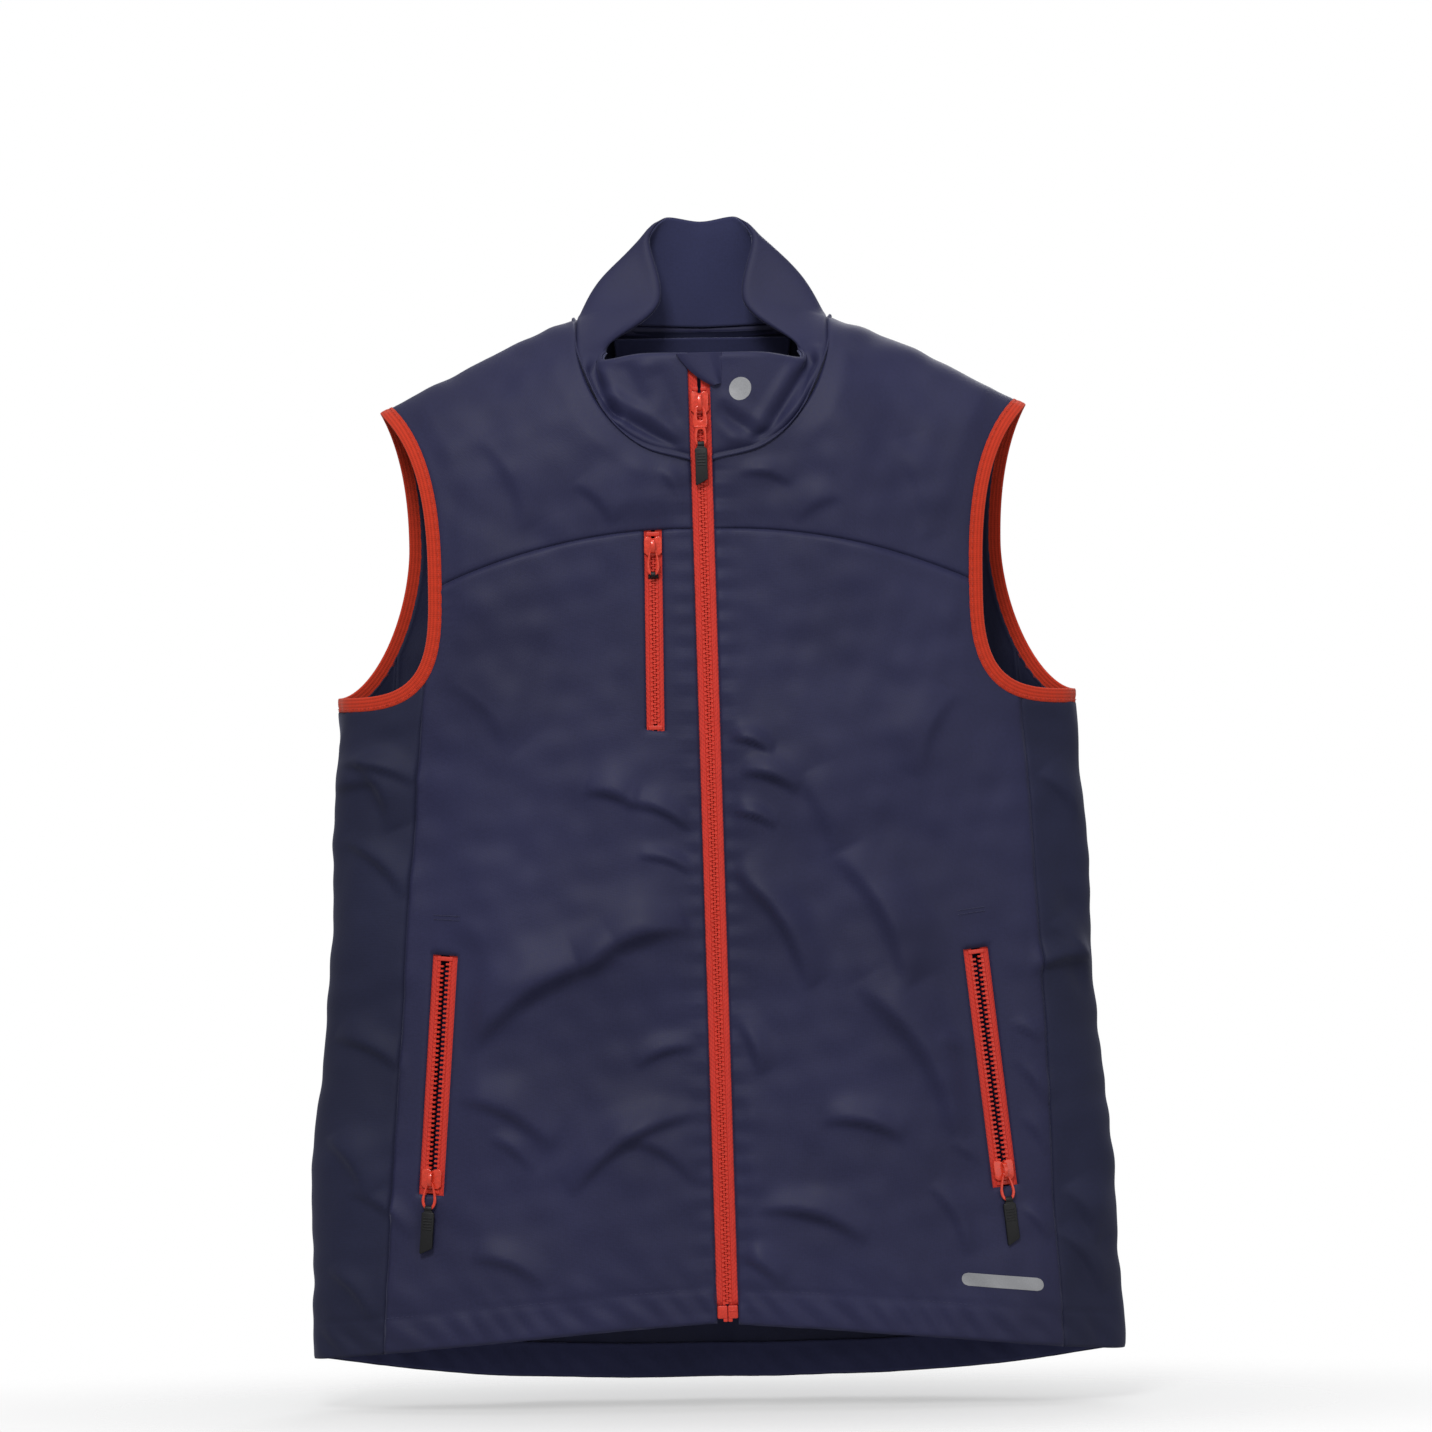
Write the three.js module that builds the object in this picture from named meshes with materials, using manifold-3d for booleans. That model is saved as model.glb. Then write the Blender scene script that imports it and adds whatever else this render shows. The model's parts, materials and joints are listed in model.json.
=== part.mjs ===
// A sleeveless, full-zip sailing jacket (gilet), hanging as it does on a clothes hanger.
// Millimetres, +Z up. The front faces -Y and the wearer's left is +X. The origin is the middle of the
// neck opening at the height where the shoulders meet the collar, which is where a hanger holds it.
import * as THREE from "three";
import { mergeVertices } from "three/addons/utils/BufferGeometryUtils.js";
import Module from "manifold-3d";

const wasm = await Module();
wasm.setup();

// ---------------------------------------------------------------- driving sizes of the body
const chestHalfWidth = 252; // half the flat width under the arms
const hemHalfWidth = 275; // half the flat width at the hem
const frontDepth = 60; // how far the front stands ahead of the shoulder line
const backDepth = 52; // how far the back stands behind it
const sideRoundness = 2.6; // exponent of the cross-section: higher is flatter in the middle
const bodyLength = 708; // neck point down to the hem at the side
const frontHemRise = 25; // front hem is higher than the side hem by this at the zip
const backTailDrop = 22; // back hem is lower than the side hem by this at the centre
const shellThickness = 1.2; // outer cloth
const seamGap = 0.3; // between two pieces that are sewn edge to edge
const curvedSeamGap = 0.9; // the same along a tightly curved seam, whose flat facets need more room

// ---------------------------------------------------------------- shoulders, neck and armholes
const neckPointZ = -5; // the shoulder line where it meets the collar
const neckHalfWidth = 86;
const shoulderHalfWidth = 213.5;
const shoulderSlope = 0.464; // fall of the shoulder line per unit of width
const shoulderFill = 100; // height over which the rounded shoulder reaches its full depth
const frontNeckDrop = 96;
const backNeckDrop = 6;
const armholeDepth = 206; // shoulder tip down to the underarm point
const armholeFrontHalf = 180; // closest that the front armhole edge comes to the centre
const armholeFrontWaist = 123; // how far below the shoulder tip that is
const armholeBackHalf = 196;
const armholeBackWaist = 96;
const bindingWidth = 9.5;
const bindingThickness = 2.6;

// ---------------------------------------------------------------- seams, collar and facings
const yokeSeamBelowNeck = 50; // at the zip, below the front neck seam
const yokeSeamArch = 10; // rise of the curved yoke seam over a straight line
const frontSeamTop = { right: 192, left: 214 }; // side-panel seam from the centre, at the armhole
const frontSeamHem = { right: 226, left: 236 }; // and at the hem
const backSeamTop = 214;
const backSeamHem = 232;
const collarHeight = 69; // at the front
const facingThickness = 0.9;
const facingClearance = 2; // between a facing and the zip tape or seam beside it
const facingInset = 1.8; // middle of a facing, behind the middle of the outer cloth
const collarBulge = 8; // how far the sides of the standing back bow out
const collarInset = 3; // the same inside the collar, which is bent more tightly
const collarBackRise = 96; // the standing back's top edge over the front's
const hemChannel = 24;
const neckFacingHeight = 58;
const neckFacingInside = 24; // from the neck's widest points to the back facing's ends
const neckFacingBelow = 4; // from the back neck seam to its top edge

// ---------------------------------------------------------------- zips
const mainZipLean = 0.017; // sideways run of the hanging main zip per unit of height
const mainZipTopX = -2.7;
const mainTeethBelowTop = 24; // the chin guard covers the bare tape above the teeth
const chestZipX = -35;
const chestZipLength = 136;
const handZipLength = 163;
const handZipHalf = 180; // top end of a hand pocket zip from the centre
const handZipAboveHem = 276;
const handZipRun = { right: 12, left: 18 }; // how much further out its lower end is
const tapeThickness = 0.8;
const tapeBehindShell = 1.1; // clearance between the shell's inner face and the tape
const tapeEdgeClear = 0.3; // least clearance at a pocket tape's edges, where the shell curves back
const tapeOverrun = 0.1; // share of a pocket zip's length that its tapes may pass its ends by
const sagSteps = 10; // places along a pocket zip where that clearance is measured
const toothPitch = 10;
const toothLength = 2.4;
const toothThickness = 2.6;
const toothGap = 0.5; // between a tooth and its neighbour's in the other row
const toothTaper = 0.3;
const beadWidth = 1.4;
const sliderClearance = 0.35;
const plateThickness = 1.2;
const postWidth = 1.2;
const flangeWidth = 1; // the slider's turned-in side walls
const lipClearance = 0.5; // between those walls and the tape
const postLength = 3.5;
const bridgeHalf = 1.3; // half the width of the slider's bridge
const bridgeEnd = 1.4; // from the bridge's legs to the ends of the slider
const bridgeLeg = 1.6;
const pivotClearance = 1.3; // from the bridge's lower leg to the middle of the puller's bar
const tunnelHeight = 5; // under the slider's bridge, where the puller's bar turns
const barThickness = 1.4;
const pullerTopHalf = 3.4; // half the puller's upper bar
const pullerFlare = 4; // height over which its sides are straight at the lower end
const pullerCorner = 2;
const eyeRadius = 1.95; // of the rubber round the puller's lower bar
const eyeHole = 1.15; // half the square hole in it
const eyeSideGap = 0.4; // between the eye and the puller's sides
const gripTop = 2.4; // the grip starts this far below the bar
const gripThickness = 2.8;
const tabSlant = 4; // its end is cut off at a slant by this much
const stopLength = 3;
const stopClearance = 1; // from a pocket zip's stops to the ends of its opening
const sewnMargin = 8; // tape that runs on behind the cloth past each end of the opening
const pocketDepth = { hand: 8.5, chest: 7.5 };
const bagWidth = { hand: 150, chest: 97.5 };
const bagRamp = { hand: 14, chest: 9 }; // width of the sloping rim
const bagMargin = 19; // past a hand pocket's zip, outwards and upwards
const bagAboveChannel = 34;
const bagEdgeInside = 3.5; // from the chest zip's tape to its bag's inner rim
const chestBagAboveTape = 12;
const chestBagBelow = 40;
const boxHeight = 11; // of the box and pin at the foot of the main zip
const boxThickness = 4;
const pinThickness = 3.2;
const windFlapBehind = 8; // behind the main tapes, clear of the slider
const chinGuardAhead = 5.2; // ahead of the main tapes

// openingHalf and tapeHalf are half widths, and rowGap is from the middle to a row's tips. tabLift is how far
// the pull tab stands out at rest, in degrees.
const zipSizes = {
  main: {
    openingHalf: 8,
    tapeHalf: 15,
    rowGap: 0.9,
    sliderLength: 15,
    pullerLength: 25,
    tabLength: 28,
    tabHalf: 4.2,
    tabLift: 0,
  },
  chest: {
    openingHalf: 6.5,
    tapeHalf: 11,
    rowGap: 0.9,
    sliderLength: 13,
    pullerLength: 17,
    tabLength: 20,
    tabHalf: 3.6,
    tabLift: 72,
  },
  hand: {
    openingHalf: 8.8,
    tapeHalf: 15,
    rowGap: 1.8,
    sliderLength: 13.5,
    pullerLength: 17.5,
    tabLength: 31,
    tabHalf: 4.4,
    tabLift: 0,
  },
};

// ---------------------------------------------------------------- heights that follow from the sizes
const shoulderTipZ = ridgeZ(shoulderHalfWidth);
const underarmZ = shoulderTipZ - armholeDepth;
const sideHemZ = neckPointZ - bodyLength;
const frontNeckZ = neckPointZ - frontNeckDrop;
const yokeSeamInnerZ = frontNeckZ - yokeSeamBelowNeck;
const frontWaistZ = shoulderTipZ - armholeFrontWaist;
const backWaistZ = shoulderTipZ - armholeBackWaist;
const collarTopZ = frontNeckZ + collarHeight;
const mainZipTopZ = collarTopZ - 2;
const mainZipBottomZ = sideHemZ + frontHemRise + 1;

// ---------------------------------------------------------------- materials
const navy = cloth(0x33334f, 0.72);
const navyDark = cloth(0x282a42, 0.8);
const bindingRed = cloth(0xb83528, 0.85);
const tapeRed = cloth(0xca3c34, 0.85);
const toothRed = new THREE.MeshStandardMaterial({ color: 0xd3433a, roughness: 0.45, metalness: 0 });
const sliderRed = new THREE.MeshStandardMaterial({ color: 0xd8412f, roughness: 0.35, metalness: 0.2 });
const rubberBlack = new THREE.MeshStandardMaterial({ color: 0x17181e, roughness: 0.6, metalness: 0 });
const meshBlack = cloth(0x14151c, 0.9);

function cloth(color, roughness) {
  return new THREE.MeshStandardMaterial({ color, roughness, metalness: 0 });
}

// ---------------------------------------------------------------- the torso surface
function mix(a, b, t) {
  return a + (b - a) * t;
}

function smooth(t) {
  const c = Math.min(1, Math.max(0, t));
  return c * c * (3 - 2 * c);
}

function ridgeZ(x) {
  return neckPointZ - shoulderSlope * (Math.abs(x) - neckHalfWidth);
}

function halfWidthAt(z) {
  return mix(chestHalfWidth, hemHalfWidth, smooth((underarmZ - z) / (underarmZ - sideHemZ)));
}

// Squared depth of the torso at (x, z) as a share of the full depth: 0 on the shoulder line and at the sides.
function depthShare(x, z) {
  const below = Math.min(1, Math.max(0, (ridgeZ(x) - z) / shoulderFill));
  const top = 1 - (1 - below) ** 2.2;
  const across = 1 - Math.min(1, Math.abs(x) / halfWidthAt(z)) ** sideRoundness;
  return top * across;
}

function torsoPoint(x, z, side) {
  const depth = side < 0 ? frontDepth : backDepth;
  return new THREE.Vector3(x, side * depth * Math.sqrt(Math.max(0, depthShare(x, z))), z);
}

// Outward direction at a point: the gradient of y squared less the squared depth.
function torsoNormal(point) {
  const depth = point.y < 0 ? frontDepth : backDepth;
  const step = 0.05;
  const level = (x, z) => {
    const below = Math.min(1, (ridgeZ(x) - z) / shoulderFill);
    const top = below > 0 ? 1 - (1 - below) ** 2.2 : 2.2 * below;
    return depth * depth * top * (1 - (Math.abs(x) / halfWidthAt(z)) ** sideRoundness);
  };
  const slopeX = (level(point.x + step, point.z) - level(point.x - step, point.z)) / (2 * step);
  const slopeZ = (level(point.x, point.z + step) - level(point.x, point.z - step)) / (2 * step);
  return new THREE.Vector3(-slopeX, 2 * point.y, -slopeZ).normalize();
}

// A point given by its turn round the body: 0 front centre, 1 wearer's left side, 2 back centre.
function torsoAround(turn, z) {
  const x = halfWidthAt(z) * Math.sin((turn * Math.PI) / 2);
  return torsoPoint(x, z, Math.cos((turn * Math.PI) / 2) >= 0 ? -1 : 1);
}

// ---------------------------------------------------------------- edges drawn on the torso, for x > 0
function roundCorner(t, power) {
  const angle = (t * Math.PI) / 2;
  return [Math.cos(angle) ** (2 / power), Math.sin(angle) ** (2 / power)];
}

// Front armhole edge: from the shoulder tip (0) past its waist (0.5) to the underarm point (1).
function armholeFront(t) {
  if (t < 0.5) {
    const down = (2 * t) ** 2;
    const x = mix(armholeFrontHalf, shoulderHalfWidth, (1 - down) ** 2.6);
    return [x, mix(ridgeZ(x), frontWaistZ, down)];
  }
  const [across, down] = roundCorner(2 * t - 1, 3.2);
  return [mix(chestHalfWidth, armholeFrontHalf, across), mix(frontWaistZ, underarmZ, down)];
}

function armholeBack(t) {
  if (t < 0.5) {
    const down = (2 * t) ** 2;
    const x = mix(armholeBackHalf, shoulderHalfWidth, (1 - down) ** 2.2);
    return [x, mix(ridgeZ(x), backWaistZ, down)];
  }
  const [across, down] = roundCorner(2 * t - 1, 1.75);
  return [mix(chestHalfWidth, armholeBackHalf, across), mix(backWaistZ, underarmZ, down)];
}

// Where along a lower armhole edge its distance from the centre is x.
function armholeShareAt(edge, x) {
  let low = 0.5;
  let high = 1;
  for (let i = 0; i < 40; i++) {
    const middle = (low + high) / 2;
    if (edge(middle)[0] < x) low = middle;
    else high = middle;
  }
  return low;
}

// Neck seam: from the shoulder line (0) to the centre (1), front or back.
function neckEdge(t, drop, clear = 0) {
  const angle = (Math.PI / 2) * (1 - t * t);
  const x = (neckHalfWidth + clear) * Math.sin(angle) ** 0.91;
  return [x, ridgeZ(neckHalfWidth + clear) - (drop + clear) * Math.max(0, Math.cos(angle)) ** 0.91];
}

function zipX(z) {
  return mainZipTopX + (mainZipTopZ - z) * mainZipLean;
}

function frontHemZ(x) {
  return sideHemZ + frontHemRise * (1 - Math.min(1, Math.abs(x) / hemHalfWidth) ** 1.2);
}

function backHemZ(x) {
  return sideHemZ - backTailDrop * (1 - (Math.abs(x) / hemHalfWidth) ** 3);
}

function seamX(z, top, hem, topZ) {
  return mix(top, hem, Math.min(1, Math.max(0, (topZ - z) / (topZ - sideHemZ))) ** 0.9);
}

// ---------------------------------------------------------------- closed solids
function solidFrom(geometry) {
  const bare = geometry.clone();
  bare.deleteAttribute("normal");
  bare.deleteAttribute("uv");
  const merged = mergeVertices(bare, 1e-3);
  const mesh = new wasm.Mesh({
    numProp: 3,
    vertProperties: new Float32Array(merged.attributes.position.array),
    triVerts: new Uint32Array(merged.index.array),
  });
  return new wasm.Manifold(mesh);
}

function geometryFrom(solid) {
  const mesh = solid.getMesh();
  const geometry = new THREE.BufferGeometry();
  geometry.setAttribute("position", new THREE.BufferAttribute(new Float32Array(mesh.vertProperties), 3));
  geometry.setIndex(new THREE.BufferAttribute(new Uint32Array(mesh.triVerts), 1));
  geometry.computeVertexNormals();
  return geometry;
}

// A sheet of cloth: a grid of points thickened both ways along its normals, with its rims closed.
// at(u, v) gives {point, normal}; with ring the sheet joins up with itself in u.
function sheet(at, columns, rows, thickness, ring = false) {
  const across = ring ? columns : columns + 1;
  const points = [];
  for (const face of [0.5, -0.5])
    for (let j = 0; j <= rows; j++)
      for (let i = 0; i < across; i++) {
        const { point, normal } = at(i / columns, j / rows);
        points.push(point.clone().addScaledVector(normal, face * thickness));
      }
  const layer = across * (rows + 1);
  const node = (i, j, face) => face * layer + j * across + (i % across);
  const index = [];
  const quad = (a, b, c, d) => index.push(a, b, c, a, c, d);
  for (let j = 0; j < rows; j++)
    for (let i = 0; i < columns; i++) {
      quad(node(i, j, 0), node(i + 1, j, 0), node(i + 1, j + 1, 0), node(i, j + 1, 0));
      quad(node(i, j, 1), node(i, j + 1, 1), node(i + 1, j + 1, 1), node(i + 1, j, 1));
    }
  for (let i = 0; i < columns; i++) {
    quad(node(i, 0, 0), node(i, 0, 1), node(i + 1, 0, 1), node(i + 1, 0, 0));
    quad(node(i, rows, 0), node(i + 1, rows, 0), node(i + 1, rows, 1), node(i, rows, 1));
  }
  for (let j = 0; j < rows && !ring; j++) {
    quad(node(0, j, 0), node(0, j + 1, 0), node(0, j + 1, 1), node(0, j, 1));
    quad(node(columns, j, 0), node(columns, j, 1), node(columns, j + 1, 1), node(columns, j + 1, 0));
  }
  return facingOut(points, index);
}

// Turns the faces round if they enclose a negative volume.
function facingOut(points, index) {
  let volume = 0;
  for (let k = 0; k < index.length; k += 3) {
    const [a, b, c] = [points[index[k]], points[index[k + 1]], points[index[k + 2]]];
    volume += a.dot(b.clone().cross(c));
  }
  if (volume < 0)
    for (let k = 0; k < index.length; k += 3) [index[k + 1], index[k + 2]] = [index[k + 2], index[k + 1]];
  const geometry = new THREE.BufferGeometry().setFromPoints(points);
  geometry.setIndex(index);
  geometry.computeVertexNormals();
  return geometry;
}

function boxGeometry(x0, x1, y0, y1, z0, z1) {
  const geometry = new THREE.BoxGeometry(x1 - x0, y1 - y0, z1 - z0);
  geometry.translate((x0 + x1) / 2, (y0 + y1) / 2, (z0 + z1) / 2);
  return geometry;
}

function joined(geometries) {
  return geometries.map(solidFrom).reduce((whole, next) => whole.add(next));
}

// An outline in the XZ plane, given depth along Y and centred on it.
function plate(shape, depth) {
  const geometry = new THREE.ExtrudeGeometry(shape, { depth, bevelEnabled: false, curveSegments: 6 });
  geometry.rotateX(Math.PI / 2);
  geometry.translate(0, depth / 2, 0);
  return geometry;
}

const jacket = new THREE.Group();

function add(parent, name, geometry, material) {
  const mesh = new THREE.Mesh(geometry, material);
  mesh.name = name;
  parent.add(mesh);
  return mesh;
}

// ---------------------------------------------------------------- cloth panels
// A panel of the torso from edge functions in (x, z), mirrored for the wearer's right.
function torsoPanel(place, side, hand, columns, rows, thickness, inset = 0) {
  const at = (u, v) => {
    const [x, z] = place(u, v);
    const point = torsoPoint(hand * x, z, side);
    const normal = torsoNormal(point);
    return { point: point.addScaledVector(normal, -inset), normal };
  };
  return sheet(at, columns, rows, thickness);
}

// Inner edge of a front piece: beside the main zip, hand is +1 for the wearer's left.
function zipEdgeX(z, hand, clear) {
  return hand * zipX(z) + clear;
}

function yokeInner(v, hand) {
  const turn = 0.72;
  const clear = zipSizes.main.openingHalf;
  if (v < turn) {
    const [x, z] = neckEdge(v / turn, frontNeckDrop, curvedSeamGap);
    return [Math.max(x, zipEdgeX(z, hand, clear)), z];
  }
  const z = mix(frontNeckZ - curvedSeamGap, yokeSeamInnerZ, (v - turn) / (1 - turn));
  return [zipEdgeX(z, hand, clear), z];
}

function frontYoke(hand) {
  const place = (u, v) => {
    const [xi, zi] = yokeInner(v, hand);
    const [xo, zo] = armholeFront(v / 2);
    const arch = yokeSeamArch * 4 * u * (1 - u) * v ** 4;
    return [mix(xi, xo, u), mix(zi, zo, u) + arch + seamGap * v ** 8];
  };
  return torsoPanel(place, -1, hand, 7, 14, shellThickness);
}

function frontBody(hand) {
  const wearer = hand > 0 ? "left" : "right";
  const armhole = armholeShareAt(armholeFront, frontSeamTop[wearer]);
  const seamTopZ = armholeFront(armhole)[1];
  const turn = 0.36;
  const outer = (v) => {
    if (v < turn) return armholeFront(mix(0.5, armhole, v / turn));
    const z = mix(seamTopZ, frontHemZ(frontSeamHem[wearer]), (v - turn) / (1 - turn));
    return [seamX(z, frontSeamTop[wearer], frontSeamHem[wearer], seamTopZ) - seamGap, z];
  };
  const place = (u, v) => {
    const zi = mix(yokeSeamInnerZ, frontHemZ(0), v);
    const xi = zipEdgeX(zi, hand, zipSizes.main.openingHalf);
    const [xo, zo] = outer(v);
    const x = mix(xi, xo, u);
    const straight = mix(zi, zo, u);
    const arch = yokeSeamArch * 4 * u * (1 - u) * (1 - v) ** 4;
    const hem = (frontHemZ(x) - mix(frontHemZ(0), frontHemZ(frontSeamHem[wearer]), u)) * v ** 4;
    return [x, straight + arch + hem];
  };
  return torsoPanel(place, -1, hand, 8, 16, shellThickness);
}

// The side panel runs round the side edge, from the front seam to the back seam.
function sidePanel(hand) {
  const wearer = hand > 0 ? "left" : "right";
  const frontShare = armholeShareAt(armholeFront, frontSeamTop[wearer]);
  const backShare = armholeShareAt(armholeBack, backSeamTop);
  const turnOf = (x, z) => (2 / Math.PI) * Math.asin(Math.min(1, x / halfWidthAt(z)));
  const topZ = (u) => {
    const share = u < 0.5 ? mix(frontShare, 1, 2 * u) : mix(1, backShare, 2 * u - 1);
    return (u < 0.5 ? armholeFront : armholeBack)(share);
  };
  const hemZ = (turn) => {
    const x = hemHalfWidth * Math.sin((turn * Math.PI) / 2);
    return turn < 1 ? frontHemZ(x) : backHemZ(x);
  };
  const at = (u, v) => {
    const [x0, z0] = topZ(u);
    const turn0 = u < 0.5 ? turnOf(x0, z0) : 2 - turnOf(x0, z0);
    const front1 = turnOf(frontSeamHem[wearer], sideHemZ);
    const back1 = 2 - turnOf(backSeamHem, sideHemZ);
    const turn1 = u < 0.5 ? mix(front1, 1, 2 * u) : mix(1, back1, 2 * u - 1);
    const z = mix(z0, hemZ(turn1), v);
    const frontX = seamX(z, frontSeamTop[wearer], frontSeamHem[wearer], armholeFront(frontShare)[1]);
    const backX = seamX(z, backSeamTop, backSeamHem, armholeBack(backShare)[1]);
    const frontTurn = turnOf(frontX, z);
    const backTurn = 2 - turnOf(backX, z);
    const spread = smooth(v / 0.08);
    const even = u < 0.5 ? mix(frontTurn, 1, 2 * u) : mix(1, backTurn, 2 * u - 1);
    const point = torsoAround(mix(turn0, even, spread), z);
    point.x *= hand;
    return { point, normal: torsoNormal(point) };
  };
  return sheet(at, 12, 9, shellThickness);
}

function backPanel() {
  const share = armholeShareAt(armholeBack, backSeamTop);
  const seamTopZ = armholeBack(share)[1];
  const turn = 0.56;
  const outer = (v) => {
    if (v < turn) return armholeBack((share * v) / turn);
    const z = mix(seamTopZ, backHemZ(backSeamHem), (v - turn) / (1 - turn));
    return [seamX(z, backSeamTop, backSeamHem, seamTopZ) - seamGap, z];
  };
  const topZ = (x) => {
    const inside = Math.abs(x) / neckHalfWidth;
    return inside < 1 ? neckPointZ - curvedSeamGap - backNeckDrop * (1 - inside ** 2.2) ** 0.4545 : ridgeZ(x);
  };
  const place = (u, v) => {
    const [xo, zo] = outer(v);
    const x = xo * (2 * u - 1);
    const top = (topZ(shoulderHalfWidth * (2 * u - 1)) - shoulderTipZ) * (1 - smooth(v / 0.7));
    const hem = (backHemZ(x) - backHemZ(xo)) * smooth((v - 0.5) / 0.5);
    return [x, zo + top + hem];
  };
  return torsoPanel(place, 1, 1, 18, 16, shellThickness);
}

// ---------------------------------------------------------------- collar
// The top edge's stations after the zip: across as a share of the neck's half width, depth as a share of the
// body's on that side, and rise as a share of the back's.
const collarTopShares = [
  [0.49, -0.97, 0],
  [0.8, -0.77, -0.03],
  [0.744, -0.38, 0.083],
  [0.337, 0.08, 0.417],
  [0.419, 0.54, 0.917],
  [0.302, 0.79, 1.03],
  [0, 0.865, 1],
];

// Stations round one half of the collar, front centre to back centre: its seam and its top edge.
// The back stands up, the sides lean in over the shoulders of the hanger, and the front stands up again.
function collarStations(hand, clear) {
  const front = (t) => {
    const [x, z] = neckEdge(t, frontNeckDrop);
    return torsoPoint(x, z, -1);
  };
  const back = (t) => {
    const [x, z] = neckEdge(t, backNeckDrop);
    return torsoPoint(x, z, 1);
  };
  const startSeam = torsoPoint(zipEdgeX(frontNeckZ, hand, clear), frontNeckZ, -1);
  const startTop = new THREE.Vector3(zipEdgeX(collarTopZ, hand, clear), -frontDepth - 1, collarTopZ);
  const seam = [startSeam, front(0.84), front(0.69), front(0.42), front(0), back(0.35), back(0.75), back(1)];
  const top = [startTop];
  for (const [across, deep, rise] of collarTopShares) {
    const y = deep * (deep < 0 ? frontDepth : backDepth);
    top.push(new THREE.Vector3(across * neckHalfWidth, y, collarTopZ + rise * collarBackRise));
  }
  for (const point of [...seam, ...top]) point.x *= hand;
  return { seam, top };
}

const collarColumns = 64;

// One layer of the collar; trim is how far short of the zip opening's edges it stops.
function collarBand(trim, inset, thickness, startShare) {
  const right = collarStations(-1, zipSizes.main.openingHalf);
  const left = collarStations(1, zipSizes.main.openingHalf);
  const through = (first, second) => [...first, ...second.slice(0, -1).reverse()];
  const seam = new THREE.CatmullRomCurve3(through(right.seam, left.seam), false, "centripetal");
  const top = new THREE.CatmullRomCurve3(through(right.top, left.top), false, "centripetal");
  const firstSpan = right.seam[0].distanceTo(right.seam[1]) * (seam.points.length - 1);
  const middle = (across, v) => {
    const u = mix(trim / firstSpan, 1 - trim / firstSpan, across);
    const low = seam.getPoint(u);
    const high = top.getPoint(u);
    const share = mix(startShare, 1, v);
    const point = low.clone().lerp(high, share);
    const out = new THREE.Vector3(point.x, point.y, 0).normalize();
    const behind = smooth((low.y + 35) / 40) * Math.min(1, 2 * Math.abs(point.x) / neckHalfWidth);
    return point.addScaledVector(out, collarBulge * Math.sin(Math.PI * share) * behind);
  };
  const at = (u, v) => {
    const step = 0.004;
    const along = middle(Math.min(1, u + step), v).sub(middle(Math.max(0, u - step), v));
    const up = middle(u, Math.min(1, v + step)).sub(middle(u, Math.max(0, v - step)));
    const normal = along.cross(up).normalize();
    return { point: middle(u, v).addScaledVector(normal, -inset), normal };
  };
  return sheet(at, collarColumns, 3, thickness);
}

// ---------------------------------------------------------------- armhole binding
function armholeLoop(hand) {
  const points = [];
  const put = (edge, side, from, to, count) => {
    for (let i = 0; i < count; i++) {
      const [x, z] = edge(mix(from, to, i / count));
      points.push(torsoPoint(hand * x, z, side));
    }
  };
  put(armholeFront, -1, 0, 0.5, 10);
  put(armholeFront, -1, 0.5, 1, 14);
  put(armholeBack, 1, 1, 0.5, 14);
  put(armholeBack, 1, 0.5, 0, 10);
  return points;
}

// A folded elastic strip that lies on from the cloth's edge into the armhole.
function armholeBinding(hand) {
  const points = armholeLoop(hand);
  const curve = new THREE.CatmullRomCurve3(points, true, "centripetal");
  const at = (u, v) => {
    const point = curve.getPointAt(u % 1);
    const along = curve.getTangentAt(u % 1);
    const normal = torsoNormal(point);
    const into = along.clone().cross(normal).multiplyScalar(-hand).normalize();
    const out = into.clone().cross(along).normalize();
    const flat = out.dot(normal) < 0 ? out.negate() : out;
    return { point: point.clone().addScaledVector(into, curvedSeamGap + v * bindingWidth), normal: flat };
  };
  return sheet(at, 48, 1, bindingThickness, true);
}

// ---------------------------------------------------------------- facings, guards and pocket bags
function frontHemFacing(hand) {
  const wearer = hand > 0 ? "left" : "right";
  const clear = zipSizes.main.tapeHalf + facingClearance;
  const place = (u, v) => {
    const x = mix(zipEdgeX(mainZipBottomZ, hand, clear), frontSeamHem[wearer] - facingClearance, u);
    return [x, frontHemZ(x) + 1 + v * (hemChannel - 1)];
  };
  return torsoPanel(place, -1, hand, 8, 1, facingThickness, facingInset);
}

function backHemFacing() {
  const turnOf = (x) => (2 / Math.PI) * Math.asin(x / hemHalfWidth);
  const from = turnOf(frontSeamHem.left) + 0.02;
  const to = 4 - turnOf(frontSeamHem.right) - 0.02;
  const at = (u, v) => {
    const turn = mix(from, to, u);
    const x = hemHalfWidth * Math.sin((turn * Math.PI) / 2);
    const low = turn < 1 || turn > 3 ? frontHemZ(x) : backHemZ(x);
    const point = torsoAround(turn, low + 1 + v * (hemChannel - 1));
    const normal = torsoNormal(point);
    return { point: point.addScaledVector(normal, -facingInset), normal };
  };
  return sheet(at, 36, 1, facingThickness);
}

function backNeckFacing() {
  const half = neckHalfWidth - neckFacingInside;
  const topZ = neckPointZ - backNeckDrop - neckFacingBelow;
  const place = (u, v) => [half * (2 * u - 1) * (1 - 0.1 * v), mix(topZ, neckPointZ - neckFacingHeight, v)];
  return torsoPanel(place, 1, 1, 10, 4, facingThickness, collarInset + curvedSeamGap);
}

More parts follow.
